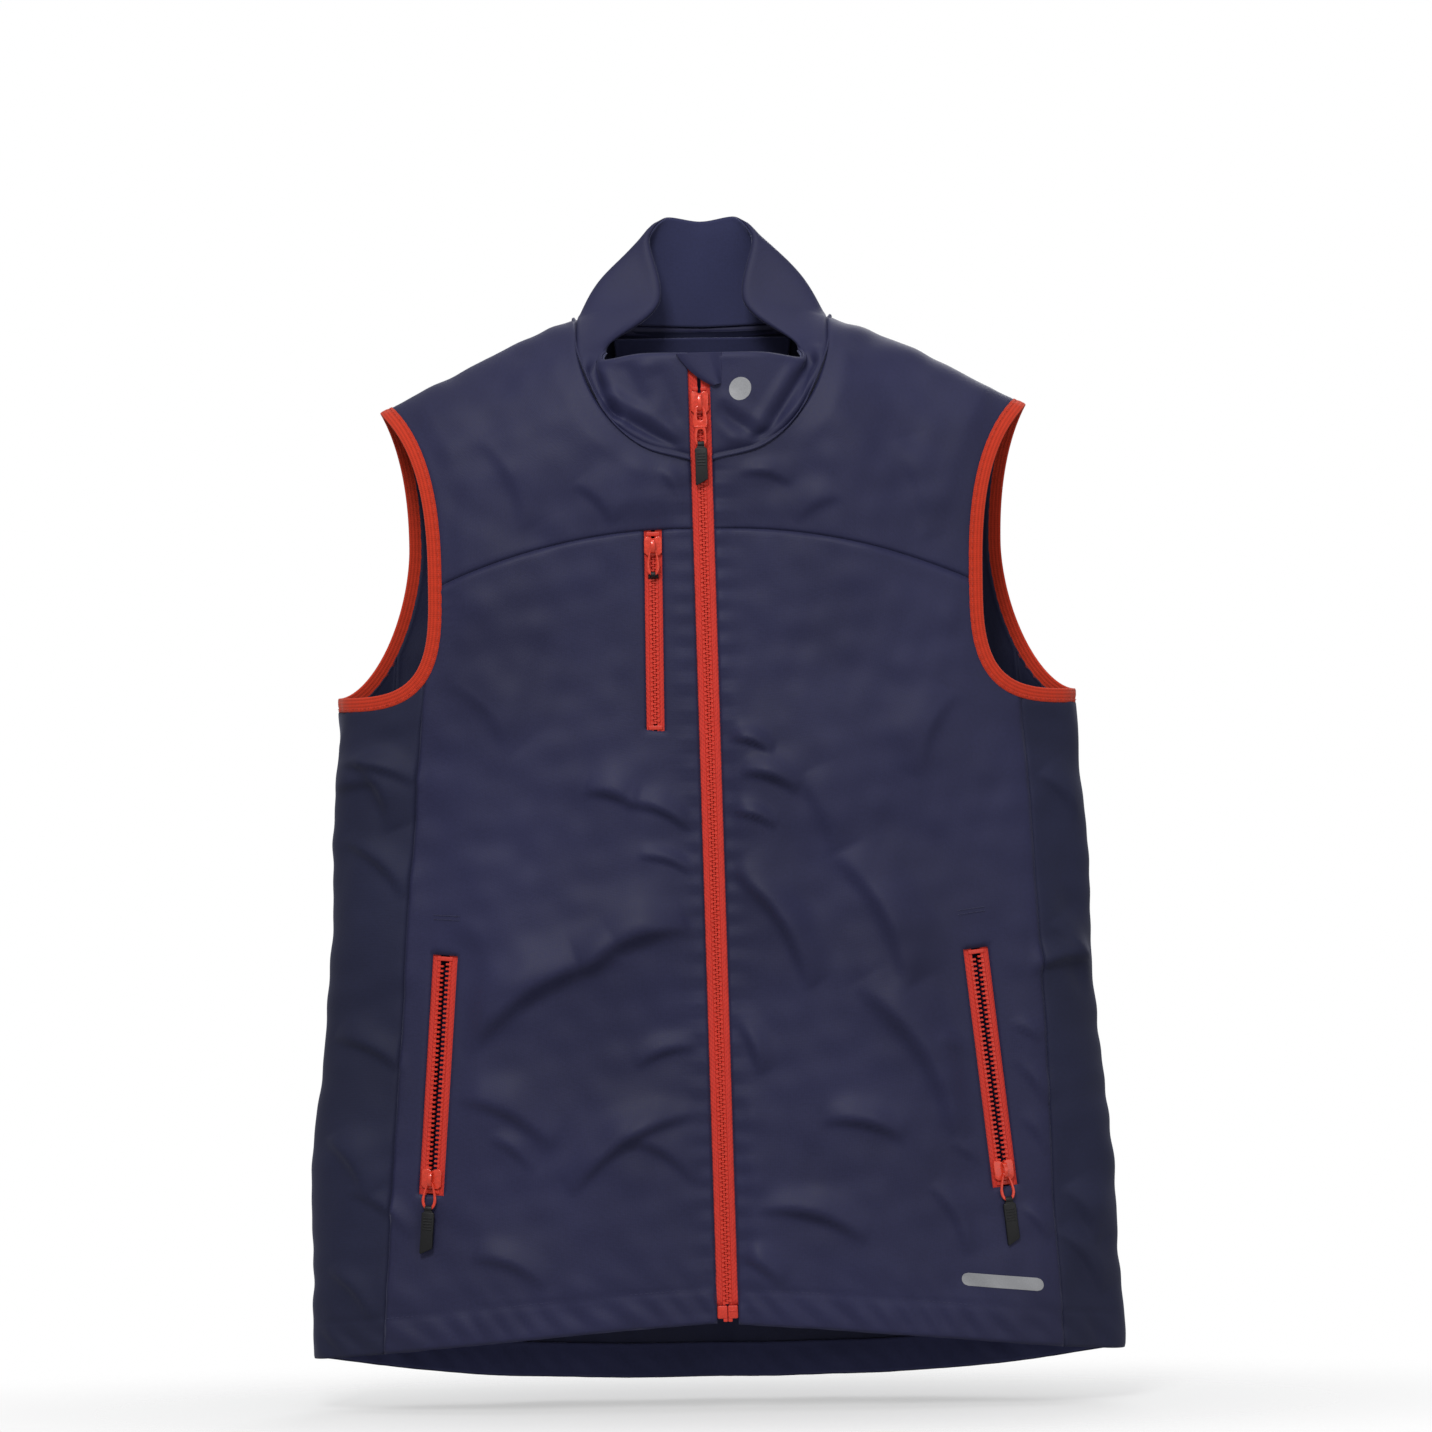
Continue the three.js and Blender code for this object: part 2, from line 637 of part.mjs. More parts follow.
// A pocket bag: a shallow dish of cloth sewn to the inside of the front, over the back of its zip.
function pocketBag(hand, x0, x1, z0, z1, depth, ramp) {
  const rim = (shellThickness + facingThickness) / 2 + 2 * seamGap;
  const thickness = facingThickness * 0.8;
  const spread = (t, length) => {
    const share = ramp / length;
    if (t < 0.25) return 4 * t * share; // the first and last quarter of the grid lines lie on the ramps
    return t > 0.75 ? 1 - 4 * (1 - t) * share : mix(share, 1 - share, 2 * t - 0.5);
  };
  const wall = (near) => Math.sin((Math.PI / 2) * Math.min(1, near / ramp));
  const at = (u, v) => {
    const across = spread(u, x1 - x0);
    const up = spread(v, z1 - z0);
    const rise = wall(Math.min(across, 1 - across) * (x1 - x0)) * wall(Math.min(up, 1 - up) * (z1 - z0));
    const point = torsoPoint(hand * mix(x0, x1, across), mix(z0, z1, up), -1);
    const normal = torsoNormal(point);
    return { point: point.addScaledVector(normal, -(rim + depth * rise)), normal };
  };
  return sheet(at, 8, 8, thickness);
}

// ---------------------------------------------------------------- zips
// A zip's own frame: origin at the top end of its opening, in the plane of its tapes.
// X runs across it towards the wearer's left, Y into the garment and Z up along it.
function zipFrame(topPoint, bottomPoint) {
  const up = topPoint.clone().sub(bottomPoint).normalize();
  const middle = topPoint.clone().lerp(bottomPoint, 0.5);
  const out = torsoNormal(middle);
  out.addScaledVector(up, -out.dot(up)).normalize();
  const inward = out.clone().negate();
  const across = inward.clone().cross(up).normalize();
  const behind = shellThickness / 2 + tapeBehindShell + tapeThickness / 2;
  const frame = new THREE.Matrix4().makeBasis(across, inward, up);
  frame.setPosition(topPoint.clone().addScaledVector(inward, behind));
  return frame;
}

// A pocket zip's frame, set further back where the shell curves back behind the edges of its tapes.
function pocketFrame(topPoint, bottomPoint, tapeHalf) {
  const frame = zipFrame(topPoint, bottomPoint);
  const [across, inward, up] = [new THREE.Vector3(), new THREE.Vector3(), new THREE.Vector3()];
  frame.extractBasis(across, inward, up);
  let sag = 0;
  for (const side of [-tapeHalf, tapeHalf]) {
    for (let step = 0; step <= sagSteps; step++) {
      const share = mix(-tapeOverrun, 1 + tapeOverrun, step / sagSteps);
      const edge = topPoint.clone().lerp(bottomPoint, share).addScaledVector(across, side);
      sag = Math.max(sag, torsoPoint(edge.x, edge.z, -1).sub(topPoint).dot(inward));
    }
  }
  const further = Math.max(0, sag + tapeEdgeClear - tapeBehindShell);
  return new THREE.Matrix4().makeTranslation(inward.multiplyScalar(further)).multiply(frame);
}

function zipTape(hand, size, top, bottom) {
  const inner = rowOuter(size) + seamGap;
  const x0 = hand > 0 ? inner : -size.tapeHalf;
  const x1 = hand > 0 ? size.tapeHalf : -inner;
  return boxGeometry(x0, x1, -tapeThickness / 2, tapeThickness / 2, bottom, top);
}

// One row of moulded teeth on its bead, as a comb; the other row's teeth sit half a pitch along.
function toothRow(hand, size, top, bottom) {
  const tip = size.rowGap;
  const root = tip + toothLength;
  const outer = root + beadWidth;
  const toothHeight = toothPitch / 2 - toothGap;
  const count = Math.floor((top - bottom - toothPitch) / toothPitch);
  const first = bottom + (hand > 0 ? toothPitch / 2 : 0) + toothGap;
  const comb = new THREE.Shape();
  comb.moveTo(hand * outer, bottom);
  comb.lineTo(hand * root, bottom);
  for (let i = 0; i < count; i++) {
    const z = first + i * toothPitch;
    comb.lineTo(hand * root, z);
    comb.lineTo(hand * tip, z + toothTaper);
    comb.lineTo(hand * tip, z + toothHeight - toothTaper);
    comb.lineTo(hand * root, z + toothHeight);
  }
  comb.lineTo(hand * root, top);
  comb.lineTo(hand * outer, top);
  comb.closePath();
  return plate(comb, toothThickness);
}

function rowOuter(size) {
  return size.rowGap + toothLength + beadWidth;
}

// The slider: two plates round the tooth rows, joined by the post between them, with a bridge on the front.
function sliderBody(size) {
  const half = rowOuter(size) + sliderClearance + flangeWidth;
  const length = size.sliderLength;
  const inside = toothThickness / 2 + sliderClearance;
  const outside = inside + plateThickness;
  const lip = tapeThickness / 2 + lipClearance;
  const roof = outside + tunnelHeight;
  const bridgeTop = -bridgeEnd;
  const bridgeLow = -length + bridgeEnd;
  const pieces = [
    boxGeometry(-half, half, -outside, -inside, -length, 0),
    boxGeometry(-half, half, inside, outside, -length, 0),
    boxGeometry(-postWidth / 2, postWidth / 2, -outside, outside, -postLength, 0),
    boxGeometry(-bridgeHalf, bridgeHalf, -roof, -inside, bridgeTop - bridgeLeg, bridgeTop),
    boxGeometry(-bridgeHalf, bridgeHalf, -roof, -inside, bridgeLow, bridgeLow + bridgeLeg),
    boxGeometry(-bridgeHalf, bridgeHalf, -roof - plateThickness, -roof, bridgeLow, bridgeTop),
  ];
  for (const hand of [-1, 1]) {
    const [x0, x1] = hand > 0 ? [half - flangeWidth, half] : [-half, -half + flangeWidth];
    pieces.push(boxGeometry(x0, x1, -outside, -lip, -length, 0));
    pieces.push(boxGeometry(x0, x1, lip, outside, -length, 0));
  }
  return geometryFrom(joined(pieces));
}

// The puller: a flat ring whose upper bar turns in the slider's tunnel and whose lower bar holds the tab.
function pullerRing(size) {
  const bar = barThickness / 2;
  const wide = size.tabHalf;
  const end = -(size.pullerLength - bar);
  const shape = new THREE.Shape();
  shape.moveTo(-pullerTopHalf, bar);
  shape.lineTo(pullerTopHalf, bar);
  shape.lineTo(wide, end + pullerFlare);
  const corner = wide - pullerCorner;
  const cornerZ = end + pullerCorner - barThickness;
  shape.absarc(corner, cornerZ, pullerCorner, 0, -Math.PI / 2, true);
  shape.absarc(-corner, cornerZ, pullerCorner, -Math.PI / 2, -Math.PI, true);
  shape.lineTo(-wide, end + pullerFlare);
  shape.closePath();
  const inner = wide - barThickness;
  const hole = new THREE.Shape();
  hole.moveTo(-pullerTopHalf + 1.5, -bar);
  hole.lineTo(pullerTopHalf - 1.5, -bar);
  hole.lineTo(inner, end + pullerFlare + 1);
  hole.lineTo(inner, end);
  hole.lineTo(-inner, end);
  hole.lineTo(-inner, end + pullerFlare + 1);
  hole.closePath();
  const ring = solidFrom(plate(shape, barThickness));
  return geometryFrom(ring.subtract(solidFrom(plate(hole, 2 * barThickness))));
}

// The rubber tab: a round eye on the puller's lower bar, then a flat grip with a slanted end.
function rubberTab(size) {
  const eyeHalf = size.tabHalf - barThickness - eyeSideGap;
  const grip = new THREE.Shape();
  grip.moveTo(-size.tabHalf, -gripTop);
  grip.lineTo(size.tabHalf, -gripTop);
  grip.lineTo(size.tabHalf, -size.tabLength + tabSlant);
  grip.lineTo(-size.tabHalf, -size.tabLength);
  grip.closePath();
  const round = new THREE.CylinderGeometry(eyeRadius, eyeRadius, 2 * eyeHalf, 16);
  round.rotateZ(Math.PI / 2);
  const neck = boxGeometry(-eyeHalf, eyeHalf, -gripThickness / 2, gripThickness / 2, -gripTop - 1, -eyeHole);
  const hole = solidFrom(boxGeometry(-size.tabHalf, size.tabHalf, -eyeHole, eyeHole, -eyeHole, eyeHole));
  const eye = solidFrom(round).subtract(hole);
  return geometryFrom(eye.add(solidFrom(neck)).add(solidFrom(plate(grip, gripThickness))));
}

// Everything that moves on a zip, with each turning piece in a group on its own pivot.
function movingParts(frameGroup, name, size, headZ) {
  const slider = new THREE.Group();
  slider.position.set(0, 0, headZ);
  frameGroup.add(slider);
  add(slider, name + "_slider", sliderBody(size), sliderRed);
  const pivot = new THREE.Group();
  const outside = toothThickness / 2 + sliderClearance + plateThickness;
  const pivotZ = -size.sliderLength + bridgeEnd + bridgeLeg + pivotClearance;
  pivot.position.set(0, -(outside + tunnelHeight / 2), pivotZ);
  slider.add(pivot);
  add(pivot, name + "_puller", pullerRing(size), sliderRed);
  const tabPivot = new THREE.Group();
  tabPivot.position.set(0, 0, -(size.pullerLength - barThickness / 2) - barThickness / 2);
  tabPivot.rotation.x = (-size.tabLift * Math.PI) / 180;
  pivot.add(tabPivot);
  add(tabPivot, name + "_pull_tab", rubberTab(size), rubberBlack);
}

function zipRows(frameGroup, name, size, tapeTop, tapeBottom, teethTop, teethBottom) {
  for (const [wearer, hand] of [["right", -1], ["left", 1]]) {
    const tape = zipTape(hand, size, tapeTop, tapeBottom);
    const teeth = toothRow(hand, size, teethTop, teethBottom);
    add(frameGroup, name + "_tape_" + wearer, tape, tapeRed);
    add(frameGroup, name + "_teeth_" + wearer, teeth, toothRed);
  }
}

function pocketZip(name, size, frame, length, sliderAtTop) {
  const group = new THREE.Group();
  group.applyMatrix4(frame);
  jacket.add(group);
  const stopTop = -stopClearance;
  const stopBottom = -length + stopClearance;
  const teethTop = stopTop - stopLength - seamGap;
  const teethBottom = stopBottom + stopLength + seamGap;
  zipRows(group, name, size, sewnMargin, -length - sewnMargin, teethTop, teethBottom);
  const outer = rowOuter(size);
  const half = toothThickness / 2;
  const topStop = boxGeometry(-outer, outer, -half, half, stopTop - stopLength, stopTop);
  const bottomStop = boxGeometry(-outer, outer, -half, half, stopBottom, stopBottom + stopLength);
  add(group, name + "_top_stop", topStop, toothRed);
  add(group, name + "_bottom_stop", bottomStop, toothRed);
  movingParts(group, name, size, sliderAtTop ? teethTop : teethBottom + size.sliderLength);
}

function mainZip() {
  const size = zipSizes.main;
  const name = "main_zip";
  const group = new THREE.Group();
  const top = new THREE.Vector3(zipX(mainZipTopZ), -frontDepth, mainZipTopZ);
  const bottom = new THREE.Vector3(zipX(mainZipBottomZ), -frontDepth, mainZipBottomZ);
  group.applyMatrix4(zipFrame(top, bottom));
  jacket.add(group);
  const length = top.distanceTo(bottom);
  const teethTop = -mainTeethBelowTop;
  const footTop = -length + boxHeight;
  const teethBottom = footTop + seamGap;
  zipRows(group, name, size, 0, teethBottom, teethTop, teethBottom);
  const outer = rowOuter(size);
  const half = toothThickness / 2;
  const stopLow = teethTop + seamGap;
  const stopHigh = stopLow + stopLength;
  const footEdge = size.openingHalf - 1;
  const stopRight = boxGeometry(-outer, -size.rowGap, -half, half, stopLow, stopHigh);
  const stopLeft = boxGeometry(size.rowGap, outer, -half, half, stopLow, stopHigh);
  const footBox = boxGeometry(seamGap, footEdge, -boxThickness / 2, boxThickness / 2, -length, footTop);
  const pin = boxGeometry(-footEdge, 0, -pinThickness / 2, pinThickness / 2, -length, footTop);
  add(group, name + "_top_stop_right", stopRight, toothRed);
  add(group, name + "_top_stop_left", stopLeft, toothRed);
  add(group, name + "_box", footBox, toothRed);
  add(group, name + "_pin", pin, toothRed);
  movingParts(group, name, size, teethTop);
  add(group, "inner_wind_flap", windFlap(length), navyDark);
  add(group, "chin_guard", chinGuard(), navy);
}

// The flap behind the main zip, sewn in on the wearer's left and a little wider on that side.
function windFlap(length) {
  const half = facingThickness / 2;
  const { openingHalf } = zipSizes.main;
  const low = -length + boxHeight + 1;
  const near = windFlapBehind - half;
  return boxGeometry(-1.5 * openingHalf, 2 * openingHalf, near, near + facingThickness, low, -6);
}

// The flap that folds over the top of the zip from the wearer's left, with a slanted lower edge.
function chinGuard() {
  const { openingHalf, tapeHalf } = zipSizes.main;
  const top = 2;
  const low = -mainTeethBelowTop + stopLength + 0.5;
  const shape = new THREE.Shape();
  shape.moveTo(-tapeHalf, top);
  shape.quadraticCurveTo(-openingHalf + 1, low * 0.68, openingHalf + 1, low);
  shape.lineTo(tapeHalf, low + 2);
  shape.lineTo(tapeHalf, top);
  shape.closePath();
  const geometry = plate(shape, facingThickness);
  geometry.translate(0, -chinGuardAhead, 0);
  return geometry;
}

// ---------------------------------------------------------------- the hand and chest pockets
function handPocketFrame(hand) {
  const wearer = hand > 0 ? "left" : "right";
  const topZ = sideHemZ + handZipAboveHem;
  const bottomZ = topZ - Math.sqrt(handZipLength ** 2 - handZipRun[wearer] ** 2);
  const top = torsoPoint(hand * handZipHalf, topZ, -1);
  const bottom = torsoPoint(hand * (handZipHalf + handZipRun[wearer]), bottomZ, -1);
  return pocketFrame(top, bottom, zipSizes.hand.tapeHalf);
}

function chestPocketFrame() {
  const inner = zipSizes.main.openingHalf;
  const share = (Math.abs(chestZipX) - inner) / (armholeFrontHalf - inner);
  const seam = mix(yokeSeamInnerZ, frontWaistZ, share) + yokeSeamArch * 4 * share * (1 - share);
  const top = torsoPoint(chestZipX, seam, -1);
  const bottom = torsoPoint(chestZipX, seam - chestZipLength, -1);
  return pocketFrame(top, bottom, zipSizes.chest.tapeHalf);
}

// Cuts the opening of a pocket zip out of the panel that it is sewn into.
function withOpening(geometry, frame, size, length, above) {
  const cutter = boxGeometry(-size.openingHalf, size.openingHalf, -12, 12, -length, above);
  cutter.applyMatrix4(frame);
  return geometryFrom(solidFrom(geometry).subtract(solidFrom(cutter)));
}

// ---------------------------------------------------------------- assembly
const handFrames = { right: handPocketFrame(-1), left: handPocketFrame(1) };
const chestFrame = chestPocketFrame();

for (const [wearer, hand] of [["right", -1], ["left", 1]]) {
  let body = withOpening(frontBody(hand), handFrames[wearer], zipSizes.hand, handZipLength, 0);
  if (hand < 0) body = withOpening(body, chestFrame, zipSizes.chest, chestZipLength, sewnMargin);
  add(jacket, "front_body_" + wearer, body, navy);
  add(jacket, "front_yoke_" + wearer, frontYoke(hand), navy);
  add(jacket, "side_panel_" + wearer, sidePanel(hand), navyDark);
  add(jacket, "armhole_binding_" + wearer, armholeBinding(hand), bindingRed);
  add(jacket, "hem_facing_front_" + wearer, frontHemFacing(hand), navyDark);
  pocketZip("hand_zip_" + wearer, zipSizes.hand, handFrames[wearer], handZipLength, false);
  const outerRim = handZipHalf + handZipRun[wearer] + bagMargin;
  const bagTop = sideHemZ + handZipAboveHem + bagMargin;
  const bagBottom = sideHemZ + hemChannel + bagAboveChannel;
  const innerRim = outerRim - bagWidth.hand;
  const bag = pocketBag(hand, innerRim, outerRim, bagBottom, bagTop, pocketDepth.hand, bagRamp.hand);
  add(jacket, "hand_pocket_bag_" + wearer, bag, meshBlack);
}
add(jacket, "back_panel", backPanel(), navyDark);
const innerTrim = zipSizes.main.tapeHalf - zipSizes.main.openingHalf + facingClearance;
add(jacket, "collar_outer", collarBand(0, 0, shellThickness, 0.045), navy);
add(jacket, "collar_inner", collarBand(innerTrim, collarInset, facingThickness, 0.1), navyDark);
add(jacket, "back_neck_facing", backNeckFacing(), navyDark);
add(jacket, "hem_facing_back", backHemFacing(), navyDark);
pocketZip("chest_zip", zipSizes.chest, chestFrame, chestZipLength, true);
const chestBagTop = yokeSeamInnerZ + sewnMargin + chestBagAboveTape;
const chestBagBottom = yokeSeamInnerZ - chestZipLength - chestBagBelow;
const chestRim = Math.abs(chestZipX) - zipSizes.chest.tapeHalf - bagEdgeInside;
const chestBag = pocketBag(
  -1,
  chestRim,
  chestRim + bagWidth.chest,
  chestBagBottom,
  chestBagTop,
  pocketDepth.chest,
  bagRamp.chest,
);
add(jacket, "chest_pocket_bag", chestBag, meshBlack);
mainZip();

export default jacket;
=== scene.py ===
"""A sleeveless, full-zip sailing jacket hanging as it does on a clothes hanger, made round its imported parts."""
import json
import math

import bpy
import numpy as np
from bpy.props import FloatProperty, FloatVectorProperty, PointerProperty
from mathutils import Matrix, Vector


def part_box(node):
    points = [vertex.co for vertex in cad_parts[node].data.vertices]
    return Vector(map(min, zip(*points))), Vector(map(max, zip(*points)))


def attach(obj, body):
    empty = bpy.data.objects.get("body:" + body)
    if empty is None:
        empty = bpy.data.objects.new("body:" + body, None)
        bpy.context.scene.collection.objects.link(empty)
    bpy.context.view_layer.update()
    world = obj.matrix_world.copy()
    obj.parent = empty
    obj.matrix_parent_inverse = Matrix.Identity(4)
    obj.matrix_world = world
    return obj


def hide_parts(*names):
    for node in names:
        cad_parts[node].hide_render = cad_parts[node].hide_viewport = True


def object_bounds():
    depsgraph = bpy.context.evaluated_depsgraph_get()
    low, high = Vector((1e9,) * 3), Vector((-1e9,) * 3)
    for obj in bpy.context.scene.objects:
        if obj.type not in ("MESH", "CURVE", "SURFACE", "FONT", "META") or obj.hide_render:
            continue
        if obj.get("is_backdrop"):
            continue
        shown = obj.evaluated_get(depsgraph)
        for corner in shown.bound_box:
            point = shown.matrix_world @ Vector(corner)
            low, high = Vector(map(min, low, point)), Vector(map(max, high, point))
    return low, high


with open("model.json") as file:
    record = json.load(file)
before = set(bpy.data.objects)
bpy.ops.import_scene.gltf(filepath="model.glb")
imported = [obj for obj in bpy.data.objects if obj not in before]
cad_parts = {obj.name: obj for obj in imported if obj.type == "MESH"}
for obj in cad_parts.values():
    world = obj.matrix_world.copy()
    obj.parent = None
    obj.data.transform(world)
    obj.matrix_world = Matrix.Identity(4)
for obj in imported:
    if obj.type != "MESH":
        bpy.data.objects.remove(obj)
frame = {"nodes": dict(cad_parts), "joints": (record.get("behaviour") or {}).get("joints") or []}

bl_info = {
    "name": "Sailing Gilet",
    "version": (1, 0, 0),
    "blender": (4, 5, 0),
    "location": "View3D > Sidebar > Gilet",
    "description": "Makes the cloth, zips and trims of a sleeveless sailing jacket round its packed parts",
    "category": "Add Mesh",
}

MM = 0.001
CAD_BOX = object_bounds()
HANDS = {"right": -1, "left": 1}  # the wearer's right is -X
ZIPS = ("main_zip", "chest_zip", "hand_zip_right", "hand_zip_left")


def linear(code):
    """An sRGB hex colour as linear red, green and blue."""
    parts = [int(code[i : i + 2], 16) / 255 for i in (1, 3, 5)]
    return tuple(c / 12.92 if c <= 0.04045 else ((c + 0.055) / 1.055) ** 2.4 for c in parts)


def corner(node, end, axis):
    """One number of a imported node's box, in millimetres."""
    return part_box(node)[end][axis] / MM


def mix(a, b, t):
    return a + (b - a) * t


def smooth(t):
    """0 up to 1 with level ends: 3t^2 - 2t^3."""
    t = np.clip(t, 0, 1)
    return t * t * (3 - 2 * t)


def unit(vectors):
    return vectors / np.maximum(np.linalg.norm(vectors, axis=-1, keepdims=True), 1e-9)


# ---------------------------------------------------------------- what a user may change
def length_property(name, default, low, high, description):
    return FloatProperty(name=name, description=description, default=default, min=low, max=high, unit="LENGTH")


class GiletSizes(bpy.types.PropertyGroup):
    chest_half_width: length_property(
        "Chest half width", 0.252, 0.2, 0.35, "Half the flat width under the arms")
    front_depth: length_property(
        "Front depth", 0.060, 0.02, 0.12, "How far the front stands ahead of the shoulder line")
    back_depth: length_property(
        "Back depth", 0.052, 0.02, 0.12, "How far the back stands behind the shoulder line")
    cloth_thickness: length_property(
        "Cloth thickness", 0.0012, 0.0004, 0.003, "Thickness of the outer soft shell cloth")
    facing_thickness: length_property(
        "Facing thickness", 0.0009, 0.0003, 0.002, "Thickness of the facings and inner layers")
    fold_height: FloatProperty(
        name="Fold height", description="Scale of all the creases and puckers", default=1.0, min=0.0, max=2.0)
    tooth_pitch: length_property("Tooth pitch", 0.0032, 0.002, 0.006, "Distance between two teeth of a row")
    stitch_pitch: length_property(
        "Stitch pitch", 0.0036, 0.002, 0.006, "Distance between two stitches of a seam")
    camera_distance: length_property(
        "Camera distance", 4.5, 1.0, 8.0, "From the camera to the front of the jacket")


def colour_property(name, code, description):
    return FloatVectorProperty(
        name=name, description=description, subtype="COLOR", size=3, min=0, max=1, default=linear(code))


class GiletColours(bpy.types.PropertyGroup):
    shell: colour_property("Shell", "#2b2c4e", "Outer cloth of the fronts, yokes and collar")
    # Painted shade: the side colour is darker than the shell's, standing in for the shade on panels turned away
    # from the light; the back panel takes it too
    side: colour_property("Side", "#232643", "Outer cloth of the side and back panels")
    # Painted light: the lining is its navy lifted paler than the shell, standing in for light reaching inside the
    # collar and onto the facings
    lining: colour_property("Lining", "#33365a", "Inner face of the collar and the facings")
    binding: colour_property("Binding", "#cf3a22", "Elastic round the armholes")
    tape: colour_property("Tape", "#dd3f33", "Woven zip tape")
    teeth: colour_property("Teeth", "#e5402f", "Moulded zip teeth")
    slider: colour_property("Slider", "#f0452c", "Enamel on the sliders and pullers")
    rubber: colour_property("Rubber", "#0b0c0f", "Moulded pull tabs")
    mark: colour_property("Mark", "#a3a4a8", "Plain reflective transfers")


# ---------------------------------------------------------------- the shape that the cloth lies on
class Torso:
    """The hanging jacket's surface. Lengths are in millimetres, and every method takes whole arrays."""

    neck_half = 86
    neck_point_z = -5
    shoulder_slope = 0.464
    shoulder_fill = 100
    shoulder_half = 213.5
    front_neck_drop = 96
    back_neck_drop = 6
    side_roundness = 2.6
    tail_drop = 22
    hem_rise = 25
    armhole_depth = 206
    edges = {"front": (180, 123, 2.6, 3.2), "back": (196, 96, 2.2, 1.75)}
    seam_top = {"right": 192, "left": 214}
    seam_hem = {"right": 226, "left": 236}
    back_seam = (214, 232)
    yoke_below_neck = 50
    yoke_arch = 10
    zip_lean = 0.017
    hem_channel = 24

    # Creases of the hanging front: from (x, z) to (x, z), then the width and height of the fold.
    front_folds = (
        (-84, -326, -48, -336, 9, 3.2), (-56, -334, -10, -354, 8, 3.0), (-48, -371, -11, -383, 5, 2.0),
        (-14, -418, -88, -446, 15, 5.0), (-60, -436, -168, -502, 17, 5.5), (-52, -513, -9, -500, 7, 2.2),
        (-176, -532, -106, -566, 12, 3.0), (-98, -598, -10, -543, 11, 4.2), (-60, -560, -12, -590, 9, 2.4),
        (-164, -640, -112, -662, 9, 2.6), (14, -291, 44, -302, 6, 3.0), (22, -314, 62, -328, 8, 3.6),
        (16, -342, 46, -353, 5, 2.4), (14, -378, 68, -462, 11, 4.2), (62, -318, 86, -372, 15, 1.6),
        (88, -370, 134, -462, 17, 4.0), (100, -458, 168, -568, 17, 4.8), (74, -551, 130, -564, 9, 3.2),
        (30, -610, 104, -632, 10, 3.6), (12, -640, 46, -662, 8, 2.4), (12, -478, 34, -520, 8, 2.6),
        (-236, -300, -214, -352, 13, 3.4), (-262, -330, -222, -318, 9, 2.6), (-258, -560, -232, -600, 12, 2.6),
        (232, -420, 262, -470, 13, 3.2), (226, -318, 252, -352, 11, 2.8), (240, -600, 262, -640, 12, 2.6),
        (-150, -86, -118, -148, 16, 1.4), (132, -92, 152, -160, 16, 1.6), (92, -128, 60, -146, 10, 1.4),
        (-86, -118, -60, -146, 9, 1.6), (-30, -108, -12, -142, 8, 1.6), (24, -112, 60, -120, 7, 1.8),
        (216, -452, 260, -445, 8, 3.0), (202, -488, 222, -502, 5, 1.6), (202, -512, 225, -545, 5, 1.8),
        (206, -550, 226, -578, 5, 1.6), (206, -612, 226, -636, 5, 1.6), (234, -630, 264, -674, 7, 2.2),
        (152, -496, 182, -521, 6, 1.7), (160, -568, 192, -597, 6, 1.9), (146, -596, 172, -645, 7, 1.9),
        (-250, -306, -194, -322, 7, 2.6), (-248, -358, -204, -398, 8, 2.4), (-256, -492, -206, -518, 8, 2.4),
        (-246, -596, -204, -628, 7, 2.0), (-262, -650, -232, -684, 7, 1.8), (-150, -560, -122, -584, 6, 1.8),
        (-172, -250, -130, -300, 18, 1.8), (166, -262, 140, -320, 16, 2.0), (178, -470, 204, -520, 12, 2.6),
    )
    back_folds = (
        (-150, -80, -60, -170, 20, 2.6), (150, -80, 60, -170, 20, 2.6), (-60, -180, -96, -420, 18, 3.4),
        (70, -200, 104, -470, 18, 3.6), (-10, -240, 6, -560, 16, 2.8), (-170, -330, -120, -520, 16, 3.4),
        (176, -340, 140, -560, 16, 3.4), (-120, -560, -60, -640, 13, 3.0), (120, -580, 40, -650, 13, 3.0),
        (-216, -400, -236, -560, 13, 2.8), (218, -380, 238, -540, 13, 2.8), (-30, -90, 40, -104, 12, 1.8),
    )

    def __init__(self, sizes):
        self.chest_half = sizes.chest_half_width / MM
        self.depth = {-1: sizes.front_depth / MM, 1: sizes.back_depth / MM}
        self.cloth = sizes.cloth_thickness / MM
        self.facing = sizes.facing_thickness / MM
        self.fold_scale = sizes.fold_height
        self.stitch_pitch = sizes.stitch_pitch / MM
        self.hem_half = corner("side_panel_left", 1, 0) - self.cloth / 2
        self.side_hem_z = corner("back_panel", 0, 2) + self.tail_drop
        self.tip_z = float(self.ridge_z(self.shoulder_half))
        self.underarm_z = self.tip_z - self.armhole_depth
        self.front_neck_z = self.neck_point_z - self.front_neck_drop
        self.yoke_inner_z = self.front_neck_z - self.yoke_below_neck
        self.zip_top = local_origin("main_zip") / MM
        self.collar_top_z = self.zip_top[2] + 2
        self.waves = np.random.default_rng(7).random((30, 3))
        self.openings = [pocket_opening(name) for name in ZIPS[1:]]
        self.rims = {hand: self.armhole_loop(hand, 60) for hand in HANDS.values()}
        turn = np.linspace(0, 1, 60)
        necks = [self.neck_edge(turn, self.front_neck_drop), self.neck_edge(turn, self.back_neck_drop)]
        self.neck_lines = {
            hand: np.vstack([self.point(hand * x, z, side) for (x, z), side in zip(necks, (-1, 1))])
            for hand in HANDS.values()
        }

    def ridge_z(self, x):
        """The shoulder line: a straight fall outwards from the neck point."""
        return self.neck_point_z - self.shoulder_slope * (np.abs(x) - self.neck_half)

    def half_width(self, z):
        return mix(self.chest_half, self.hem_half,
                   smooth((self.underarm_z - z) / (self.underarm_z - self.side_hem_z)))

